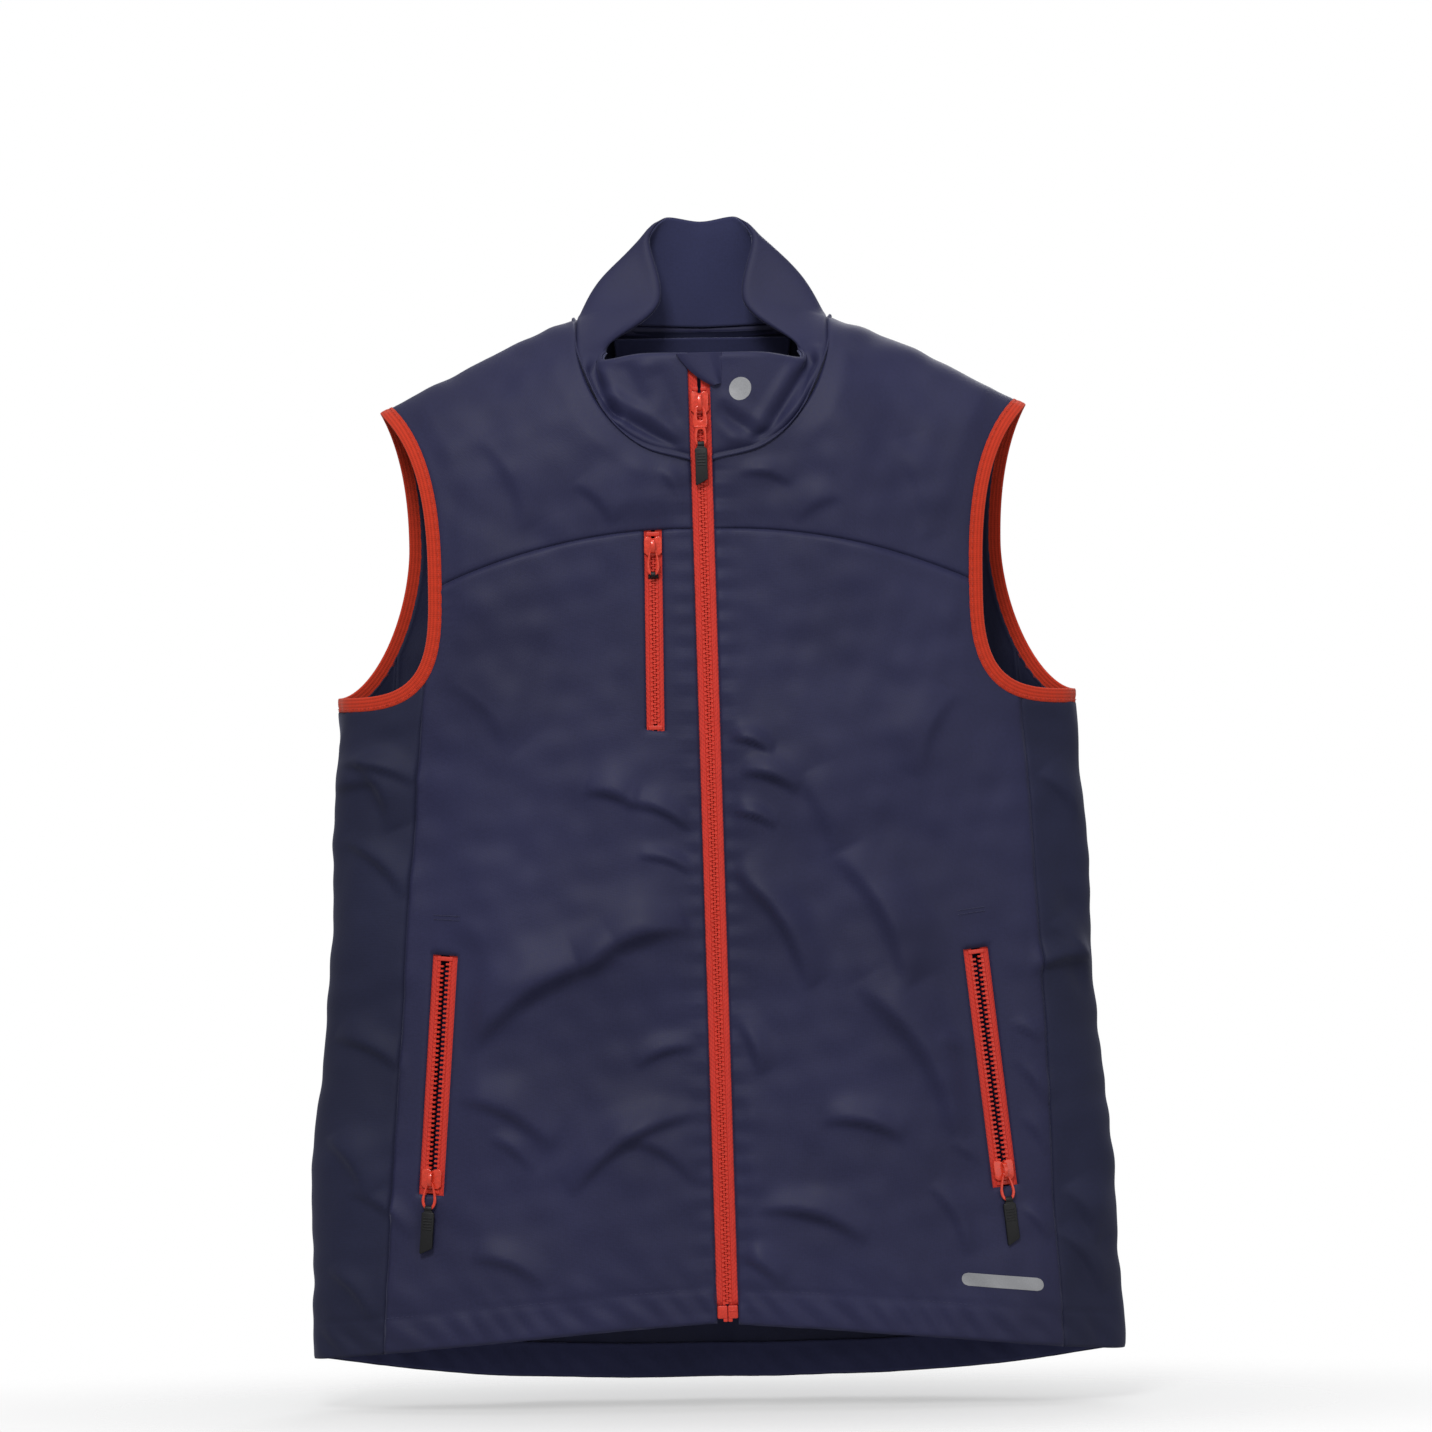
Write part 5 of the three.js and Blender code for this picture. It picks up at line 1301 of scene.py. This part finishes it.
def zip_ends(name, material):
    """The moulded stops, and on the main zip the box and pin that start it."""
    parts = ("top_stop", "bottom_stop")
    if name == "main_zip":
        parts = ("top_stop_right", "top_stop_left", "box", "pin")
    for part in parts:
        node = name + "_" + part
        low, high = local_box(name, node)
        shells = Shells()
        if part == "box":
            shells.add(*rounded_box((low[0], low[1], low[2] + 2.2), high, 0.6, 1.0))
            foot = (low[0], low[1] + 0.4, low[2]), (low[0] + 2.9, high[1] - 0.4, low[2] + 3.0)
            rib = (low[0] + 0.6, low[1] - 0.35, high[2] - 4), (high[0] - 1, low[1] + 0.4, high[2] - 3)
            shells.add(*rounded_box(*foot, 0.4, 0.6))
            shells.add(*rounded_box(*rib, 0.2, 0.3))
        elif part == "pin":
            head = (low[0], low[1], low[2] + 2.2), (high[0] - 0.1, high[1], high[2])
            shells.add(*rounded_box(*head, 0.6, 1.0))
            foot = (high[0] - 3.0, low[1] + 0.4, low[2]), (high[0] - 0.1, high[1] - 0.4, low[2] + 3.0)
            shells.add(*rounded_box(*foot, 0.4, 0.6))
        else:
            shells.add(*rounded_box(low, high, 0.5, 0.7))
        piece = shells.piece(node + "_moulding", local_origin(name), zip_axes(name))
        finish_piece(piece, material, "jacket", node)


def slider_body(name, material):
    """Two plates with a crowned head and turned-in walls, and a bridge arched over the puller's bar."""
    length = SLIDER_LENGTH[name]
    low, high = local_box(name, name + "_slider")
    half = (high[0] - low[0]) / 2
    inside = PLATE_FACE - 1.2
    crown = np.array([
        (0, -1.7), (1.2, -0.9), (2.6, 0.0), (half - 1.2, 0.0), (half - 0.2, -1.0), (half, -2.4),
        (half, -0.5 * length), (half - 0.7, 1.6 - length), (half - 1.8, 0.25 - length), (half - 3, -length)])
    outline = np.vstack([crown, crown[:0:-1] * np.array([-1, 1])])
    shells = Shells()
    shells.add(*slab(outline, -PLATE_FACE, -inside, 0.45))
    shells.add(*slab(outline, inside, PLATE_FACE, 0.35))
    for way in (-1, 1):
        for near, far in ((-PLATE_FACE + 0.3, -0.9), (0.9, PLATE_FACE - 0.3)):
            ends = sorted((way * (half - 1.0), way * (half - 0.05)))
            shells.add(*rounded_box((ends[0], near, 1.8 - length), (ends[1], far, -2.2), 0.25, 0.3))
    roof = PLATE_FACE + 5
    turn = np.linspace(0, np.pi, 13)
    z_mid, z_half = -length / 2, length / 2 - 1.4
    outer = np.stack([-(PLATE_FACE - 0.6) - (roof + 1.2 - PLATE_FACE + 0.6) * np.sin(turn) ** 0.42,
                      z_mid + z_half * np.cos(turn)], 1)
    inner = np.stack([-(PLATE_FACE - 0.6) - (roof - PLATE_FACE + 0.6) * np.sin(turn) ** 0.36,
                      z_mid + (z_half - 1.5) * np.cos(turn)], 1)
    arch = np.vstack([outer, inner[::-1]])
    shells.add(*turned(slab(arch, -1.35, 1.35, 0.35), [1, 0, 2]))
    piece = shells.piece(name + "_slider_casting", slider_origin(name), zip_axes(name))
    return finish_piece(piece, material, name + "_slider", name + "_slider")


def egg(count, top_half, low_half, top, bottom, squareness=2.6):
    """A loop that widens downwards: a rounded outline of the given power between two heights."""
    turn = np.linspace(0, 2 * np.pi, count, endpoint=False)
    cosine, sine = np.cos(turn), np.sin(turn)
    share = (1 - np.sign(sine) * np.abs(sine) ** (2 / squareness)) / 2
    x = mix(top_half, low_half, smooth(share * 1.3)) * np.sign(cosine) * np.abs(cosine) ** (2 / squareness)
    return np.stack([x, mix(top, bottom, share)], 1)


def puller(name, material):
    """The ring that turns in the slider's bridge. The main zip's is a plate with an eye at each end."""
    hinge = joint(name + "_puller_hinge")
    length, half = PULLER_LENGTH[name], TAB_HALF[name]
    low_bar = -length
    shells = Shells()
    if name == "main_zip":
        upper = egg(40, 3.6, 5.0, 0.8, -14.2, 4), egg(40, 1.95, 2.2, -0.75, -9.2, 3)
        shells.add(*ring_slab(*upper, -0.7, 0.7, 0.3))
        lower = egg(40, 3.6, 4.0, -12.6, low_bar - 0.75, 4), egg(40, 2.2, 2.7, -15.0, low_bar + 0.75, 3)
        shells.add(*ring_slab(*lower, -0.7, 0.7, 0.3))
        shells.add(*rounded_box((-4.4, -1.15, -13.9), (4.4, -0.4, -12.7), 0.3, 0.5))
    else:
        wide = half + 0.9
        outer, inner = egg(48, 3.0, wide, 0.8, low_bar - 0.75), egg(48, 1.95, wide - 2.0, -0.75, low_bar + 0.75)
        shells.add(*ring_slab(outer, inner, -0.8, 0.8, 0.45))
    piece = shells.piece(name + "_puller_ring", hinge["pos_m"], zip_axes(name))
    return finish_piece(piece, material, name + "_puller", name + "_puller")


def tab_axes(name):
    """A tab's own axes at rest; the chest one stands out from the cloth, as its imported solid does."""
    axes = zip_axes(name)
    node = frame["nodes"][name + "_pull_tab"].data
    co = np.empty(len(node.vertices) * 3, np.float32)
    node.vertices.foreach_get("co", co)
    reach = (co.reshape(-1, 3) - np.array(joint(name + "_tab_hinge")["pos_m"])) @ axes.T
    far = reach[np.argsort(np.hypot(reach[:, 1], reach[:, 2]))[-8:]].mean(0)
    angle = math.atan2(-far[1], -far[2])
    turn = np.array([[1, 0, 0], [0, math.cos(angle), math.sin(angle)], [0, -math.sin(angle), math.cos(angle)]])
    return turn @ axes


def pull_tab(name, material):
    """A rubber grip with a slanted end, a dished face and fine ribs, on a round eye about the puller's bar."""
    length, half = TAB_LENGTH[name], TAB_HALF[name]
    shells = Shells()
    turn = np.linspace(0, 2 * np.pi, 24, endpoint=False)
    circle = np.stack([np.cos(turn), np.sin(turn)], 1)
    eye_half, eye_radius, hole_radius = half - 2.0, 1.95, 1.25
    eye = ring_slab(eye_radius * circle, hole_radius * circle, -eye_half, eye_half, 0.2)
    shells.add(*turned(eye, [1, 0, 2]))
    neck = [(-eye_half, -1.3), (eye_half, -1.3), (half - 0.9, -3.2), (-half + 0.9, -3.2)]
    shells.add(*slab(neck, -1.2, 1.2, 0.3))
    grip = np.array([
        (-half + 1.1, -2.5), (half - 1.1, -2.5), (half - 0.3, -3.0), (half, -4.2), (half - 0.1, -0.5 * length),
        (half, 4.9 - length), (half - 0.5, 3.9 - length), (-half + 1.0, 0.1 - length),
        (-half + 0.2, 0.3 - length), (-half, 1.3 - length), (-half + 0.1, -0.5 * length), (-half, -4.2),
        (-half + 0.3, -3.0)])
    shells.add(*slab(grip, -1.4, 1.4, 0.55))
    first_rib, rib_pitch = -6.5, 1.9
    for k in range(5):
        z = first_rib - rib_pitch * k
        shells.add(*rounded_box((-half + 1.3, -1.75, z - 0.45), (half - 1.3, -1.0, z + 0.45), 0.25, 0.35))
    piece = shells.piece(name + "_pull_tab_rubber", joint(name + "_tab_hinge")["pos_m"], tab_axes(name))
    return finish_piece(piece, material, name + "_pull_tab", name + "_pull_tab")


# ---------------------------------------------------------------- stitching and marks
def hem_rows(torso):
    """Where the hem's stitching runs, over the outer cloth."""
    for wearer, hand in HANDS.items():
        beside_zip = hand * torso.zip_x(torso.front_hem(0.0)) + 10
        x = hand * np.linspace(beside_zip, torso.seam_hem[wearer] - 3, 160)
        yield torso.surface(x, torso.front_hem(x) + torso.hem_channel, -1.0, torso.cloth / 2)
    x = np.linspace(-torso.back_seam[1] + 3, torso.back_seam[1] - 3, 260)
    yield torso.surface(x, torso.back_hem(x) + torso.hem_channel, 1.0, torso.cloth / 2)


def bar_tacks(torso, shells):
    """Above each hand pocket, two short parallel bars of close zigzag stitching."""
    for opening in torso.openings:
        if opening.name == "chest_zip":
            continue
        for rise in (24.0, 26.8):
            x = np.linspace(-9.5, 9.5, 24)
            local = np.stack([x, 0 * x, rise + 0.02 * x], 1)
            place = local @ opening.axes + opening.origin
            points, normal = torso.surface(place[:, 0], place[:, 2], -1.0, torso.cloth / 2 + 0.1)
            stitches(shells, points, normal, 0.9, 0.8)


def collar_at(collar, u, v, lift):
    """Places on the draped collar, lift above its middle surface, and the way it faces there."""
    u, v = np.broadcast_arrays(np.asarray(u, float), v)
    flat, normal = collar.middle(u, v), collar.normal(u, v)
    normal = normal * np.sign(-normal[..., 1:2])
    return flat + normal * (collar.relief(flat) + lift)[..., None], normal


def collar_mark(torso, collar, material):
    """A plain round transfer on the wearer's left of the collar's front."""
    shells = Shells()
    turn = np.linspace(0, 2 * np.pi, 40, endpoint=False)
    places = [(0.0, 0.0)] + [(r * math.cos(a), r * math.sin(a)) for r in (0.5, 1.0) for a in turn]
    u = np.array([1 - (0.54 + 0.2 * px) / 14 for px, _ in places])
    v = np.array([0.62 + 0.12 * py for _, py in places])
    points, normal = collar_at(collar, u, v, torso.cloth / 2 + 0.12)
    n = len(turn)
    faces = [[0, 1 + k, 1 + (k + 1) % n] for k in range(n)]
    faces += [[1 + k, 1 + n + k, 1 + n + (k + 1) % n, 1 + (k + 1) % n] for k in range(n)]
    face = np.cross(points[1] - points[0], points[2] - points[0])
    if np.dot(face, normal[0]) < 0:
        faces = [f[::-1] for f in faces]
    shells.add(points, faces)
    return finish_piece(shells.piece("collar_mark"), material, "jacket", None)


def hem_mark(torso, material):
    """A plain bar with round ends above the hem on the wearer's left."""
    u = np.linspace(0, 1, 64)[None]
    v = np.linspace(-1, 1, 14)[:, None]
    middle_x, half_long, half_tall = 194.0, 27.0, 4.4
    reach = (half_long - half_tall) + half_tall * np.sqrt(np.maximum(0, 1 - v**2))
    x = middle_x + (2 * u - 1) * reach
    z = torso.front_hem(x) + 41 + half_tall * v
    points, normal = torso.surface(x, z, -1.0, torso.cloth / 2 + 0.25)
    piece = quad_object("hem_mark", points, grid_quads(13, 63), None, normal)
    return finish_piece(piece, material, "jacket", None)


# ---------------------------------------------------------------- stage
def stage_floor(material):
    """A round floor just under the hem."""
    low, radius, sides = corner("back_panel", 0, 2) - 14, 2400, 96
    turn = np.linspace(0, 2 * np.pi, sides, endpoint=False)
    ring = np.stack([radius * np.cos(turn), radius * np.sin(turn), np.full(sides, low)], 1) * MM
    mesh = bpy.data.meshes.new("floor")
    mesh.from_pydata(ring.tolist(), [], [list(range(sides))])
    mesh.update()
    floor = link(mesh, "floor")
    floor.data.materials.append(material)
    floor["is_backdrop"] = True


def floor_material():
    """Pale matt paper that fades into the white surround away from the jacket."""
    material, tree, surface = new_material(
        "Pale paper", Base_Color=(0.86, 0.86, 0.87, 1), Roughness=0.95, Specular_IOR_Level=0.1)
    if tree is None:
        return material
    place = add_node(tree, "ShaderNodeTexCoord")
    flat = add_node(tree, "ShaderNodeVectorMath", {"operation": "MULTIPLY"},
                    {0: place.outputs["Object"], 1: (0.8, 1.8, 0)})
    away = add_node(tree, "ShaderNodeVectorMath", {"operation": "LENGTH"}, {0: flat.outputs[0]})
    shade = add_node(tree, "ShaderNodeMapRange", {"interpolation_type": "SMOOTHSTEP"}, {
        "Value": away.outputs["Value"], "From Min": 0.1, "From Max": 0.62, "To Min": 0.5, "To Max": 0.0})
    tree.links.new(shade.outputs[0], surface.inputs["Alpha"])
    return material


def soft_world():
    """White behind the jacket, and a dimmer gradient, paler above, that lights it."""
    world = bpy.data.worlds.new("Soft white")
    world.use_nodes = True
    tree = world.node_tree
    tree.nodes.clear()
    place = add_node(tree, "ShaderNodeTexCoord")
    split = add_node(tree, "ShaderNodeSeparateXYZ", {}, {0: place.outputs["Generated"]})
    lift = add_node(tree, "ShaderNodeMapRange", {}, {
        "Value": split.outputs["Z"], "From Min": -1.0, "From Max": 1.0, "To Min": 0.26, "To Max": 0.42})
    lit = add_node(tree, "ShaderNodeBackground", {}, {"Color": (1, 1, 1, 1), "Strength": lift.outputs[0]})
    seen = add_node(tree, "ShaderNodeBackground", {}, {"Color": (1, 1, 1, 1), "Strength": 1.0})
    path = add_node(tree, "ShaderNodeLightPath")
    both = add_node(tree, "ShaderNodeMixShader", {}, {
        0: path.outputs["Is Camera Ray"], 1: lit.outputs[0], 2: seen.outputs[0]})
    add_node(tree, "ShaderNodeOutputWorld", {}, {"Surface": both.outputs[0]})
    bpy.context.scene.world = world


def soft_light(name, place, aim, size, power):
    lamp = bpy.data.lights.new(name, "AREA")
    lamp.size = size
    lamp.energy = power
    light = bpy.data.objects.new(name, lamp)
    bpy.context.scene.collection.objects.link(light)
    light.location = place
    way = np.array(aim) - np.array(place)
    light.rotation_euler = (math.atan2(np.hypot(way[0], way[1]), -way[2]), 0, math.atan2(-way[0], way[1]))
    light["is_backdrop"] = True


def stage_camera(torso, distance):
    lens = bpy.data.cameras.new("camera")
    camera = bpy.data.objects.new("camera", lens)
    bpy.context.scene.collection.objects.link(camera)
    front = torso.depth[-1] * MM
    middle_x, middle_z, picture_width, roll = 0.006, -0.2775, 0.974, math.radians(0.8)
    camera.location = (middle_x, -front - distance, middle_z)
    camera.rotation_euler = (math.pi / 2, roll, 0)
    lens.sensor_width = 36
    lens.lens = lens.sensor_width * (distance + front / 2) / picture_width
    lens.clip_end = 50
    bpy.context.scene.camera = camera


# ---------------------------------------------------------------- operators
def jacket(context):
    """The surface and the colours that every step starts from."""
    return Torso(context.scene.gilet_sizes), context.scene.gilet_colours


class GILET_OT_stage(bpy.types.Operator):
    """Adds the camera, the soft light and the pale floor"""
    bl_idname = "gilet.stage"
    bl_label = "Stage"
    bl_options = {"REGISTER", "UNDO"}

    def execute(self, context):
        torso, _ = jacket(context)
        context.scene.view_settings.view_transform = "Standard"
        soft_world()
        soft_light("key light", (-0.5, -2.3, 1.5), (0, 0, -0.35), 0.8, 36)
        soft_light("fill light", (1.4, -2.4, -0.2), (0, 0, -0.35), 1.6, 6)
        soft_light("top light", (0.1, -0.5, 1.6), (0, 0, -0.3), 0.8, 4)
        soft_light("back light", (0.5, 2.4, 1.4), (0, 0, -0.35), 1.6, 26)
        stage_floor(floor_material())
        stage_camera(torso, context.scene.gilet_sizes.camera_distance)
        return {"FINISHED"}


class GILET_OT_fronts(bpy.types.Operator):
    """Makes the two fronts with their pocket slots, and the yokes above them"""
    bl_idname = "gilet.fronts"
    bl_label = "Fronts and Yokes"
    bl_options = {"REGISTER", "UNDO"}

    def execute(self, context):
        torso, colours = jacket(context)
        shell = woven_shell("Woven soft shell", colours.shell)
        for wearer in HANDS:
            front_body(torso, wearer, shell)
            front_yoke(torso, wearer, shell)
        return {"FINISHED"}


class GILET_OT_back_and_sides(bpy.types.Operator):
    """Makes the side panels and the back with its dropped tail"""
    bl_idname = "gilet.back_and_sides"
    bl_label = "Back and Sides"
    bl_options = {"REGISTER", "UNDO"}

    def execute(self, context):
        torso, colours = jacket(context)
        # The side colour is painted shade: the shell cloth made darker for the panels turned from the light
        stretch = woven_shell("Woven stretch side cloth", colours.side, 0.14, 0.68)
        for wearer in HANDS:
            side_panel(torso, wearer, stretch)
        back_panel(torso, stretch)
        return {"FINISHED"}


class GILET_OT_collar(bpy.types.Operator):
    """Makes both layers of the stand collar and the chin guard over the end of the zip"""
    bl_idname = "gilet.collar"
    bl_label = "Collar"
    bl_options = {"REGISTER", "UNDO"}

    def execute(self, context):
        torso, colours = jacket(context)
        shell = woven_shell("Woven soft shell", colours.shell)
        # The lining colour is painted light: paler, so that the collar's shaded inside reads lit
        lining = woven_shell("Brushed lining", colours.lining, 0.5, 0.85)
        collar = Collar(torso)
        collar_layer(collar, "collar_outer", False, torso.cloth, shell)
        collar_layer(collar, "collar_inner", True, torso.facing, lining)
        chin_guard(torso, shell)
        collar_mark(torso, collar, transfer_film(colours.mark))
        return {"FINISHED"}


class GILET_OT_bindings(bpy.types.Operator):
    """Makes the elastic round both armholes with its row of stitches"""
    bl_idname = "gilet.bindings"
    bl_label = "Armhole Bindings"
    bl_options = {"REGISTER", "UNDO"}

    def execute(self, context):
        torso, colours = jacket(context)
        elastic = ribbed_elastic(colours.binding)
        thread = sewing_thread("Red sewing thread", scaled(colours.binding, 0.9))
        shells = Shells()
        for wearer in HANDS:
            middle, out, into = binding(torso, wearer, elastic)
            path = middle + into * 0.6 + out * 1.1
            stitches(shells, path, out, torso.stitch_pitch)
        finish_piece(shells.piece("binding_stitching"), thread, "jacket", None)
        return {"FINISHED"}


class GILET_OT_inner_layers(bpy.types.Operator):
    """Makes the hem and neck facings, the wind flap and the three pocket bags"""
    bl_idname = "gilet.inner_layers"
    bl_label = "Inner Layers"
    bl_options = {"REGISTER", "UNDO"}

    def execute(self, context):
        torso, colours = jacket(context)
        # The lining colour is painted light: paler, so that the shaded inner layers read lit
        lining = woven_shell("Brushed lining", colours.lining, 0.5, 0.85)
        # The mesh colour is the lifted lining colour darkened, so it carries part of the same painted light
        mesh = knit_mesh(scaled(colours.lining, 0.8))
        hem_facing(torso, lining)
        for wearer, hand in HANDS.items():
            hem_facing(torso, lining, wearer)
            pocket_bag(torso, "hand_pocket_bag_" + wearer, hand, mesh)
        neck_facing(torso, lining)
        wind_flap(torso, lining)
        pocket_bag(torso, "chest_pocket_bag", -1, mesh)
        return {"FINISHED"}


class GILET_OT_zip_tapes(bpy.types.Operator):
    """Makes the woven tapes of the four zips"""
    bl_idname = "gilet.zip_tapes"
    bl_label = "Zip Tapes"
    bl_options = {"REGISTER", "UNDO"}

    def execute(self, context):
        colours = context.scene.gilet_colours
        tape = woven_tape(colours.tape)
        for name in ZIPS:
            for wearer in HANDS:
                zip_tape(name, wearer, tape)
        return {"FINISHED"}


class GILET_OT_zip_teeth(bpy.types.Operator):
    """Makes the moulded teeth, stops, box and pin of the four zips"""
    bl_idname = "gilet.zip_teeth"
    bl_label = "Zip Teeth"
    bl_options = {"REGISTER", "UNDO"}

    def execute(self, context):
        colours = context.scene.gilet_colours
        moulding = acetal(colours.teeth)
        pitch = context.scene.gilet_sizes.tooth_pitch / MM
        for name in ZIPS:
            for wearer in HANDS:
                tooth_row(name, wearer, pitch, moulding)
            zip_ends(name, moulding)
        return {"FINISHED"}


class GILET_OT_zip_sliders(bpy.types.Operator):
    """Makes the cast sliders, their pullers and the rubber tabs"""
    bl_idname = "gilet.zip_sliders"
    bl_label = "Zip Sliders"
    bl_options = {"REGISTER", "UNDO"}

    def execute(self, context):
        colours = context.scene.gilet_colours
        coat, rubber = enamel(colours.slider), pvc_rubber(colours.rubber)
        for name in ZIPS:
            slider_body(name, coat)
            puller(name, coat)
            pull_tab(name, rubber)
        return {"FINISHED"}


class GILET_OT_stitching(bpy.types.Operator):
    """Sews the hem and the bar tacks over the hand pockets"""
    bl_idname = "gilet.stitching"
    bl_label = "Stitching"
    bl_options = {"REGISTER", "UNDO"}

    def execute(self, context):
        torso, colours = jacket(context)
        thread = sewing_thread("Navy sewing thread", scaled(colours.shell, 1.15))
        hem, tacks = Shells(), Shells()
        for points, normal in hem_rows(torso):
            stitches(hem, points, normal, torso.stitch_pitch)
        bar_tacks(torso, tacks)
        finish_piece(hem.piece("hem_stitching"), thread, "jacket", None)
        finish_piece(tacks.piece("bar_tacks"), thread, "jacket", None)
        hem_mark(torso, transfer_film(colours.mark))
        return {"FINISHED"}


class GILET_PT_panel(bpy.types.Panel):
    """The jacket's steps in order, with the sizes and colours that they use"""
    bl_idname = "GILET_PT_panel"
    bl_label = "Sailing Gilet"
    bl_space_type = "VIEW_3D"
    bl_region_type = "UI"
    bl_category = "Gilet"

    def draw(self, context):
        layout = self.layout
        for group in (context.scene.gilet_sizes, context.scene.gilet_colours):
            column = layout.column(align=True)
            for key in type(group).__annotations__:
                column.prop(group, key)
        column = layout.column(align=True)
        for step in STEPS:
            column.operator(step.bl_idname)


STEPS = (
    GILET_OT_stage, GILET_OT_fronts, GILET_OT_back_and_sides, GILET_OT_collar, GILET_OT_bindings,
    GILET_OT_inner_layers, GILET_OT_zip_tapes, GILET_OT_zip_teeth, GILET_OT_zip_sliders, GILET_OT_stitching)
CLASSES = (GiletSizes, GiletColours, *STEPS, GILET_PT_panel)


def register():
    for made in CLASSES:
        bpy.utils.register_class(made)
    bpy.types.Scene.gilet_sizes = PointerProperty(type=GiletSizes)
    bpy.types.Scene.gilet_colours = PointerProperty(type=GiletColours)


def unregister():
    del bpy.types.Scene.gilet_colours
    del bpy.types.Scene.gilet_sizes
    for made in reversed(CLASSES):
        bpy.utils.unregister_class(made)


def main():
    register()
    operators = bpy.ops.gilet
    operators.stage()
    operators.fronts()
    operators.back_and_sides()
    operators.collar()
    operators.bindings()
    operators.inner_layers()
    operators.zip_tapes()
    operators.zip_teeth()
    operators.zip_sliders()
    operators.stitching()
    boxes = {"cad": CAD_BOX, "visual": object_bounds()}
    {key: [[float(n) for n in end] for end in box] for key, box in boxes.items()}


if __name__ == "__main__":
    main()
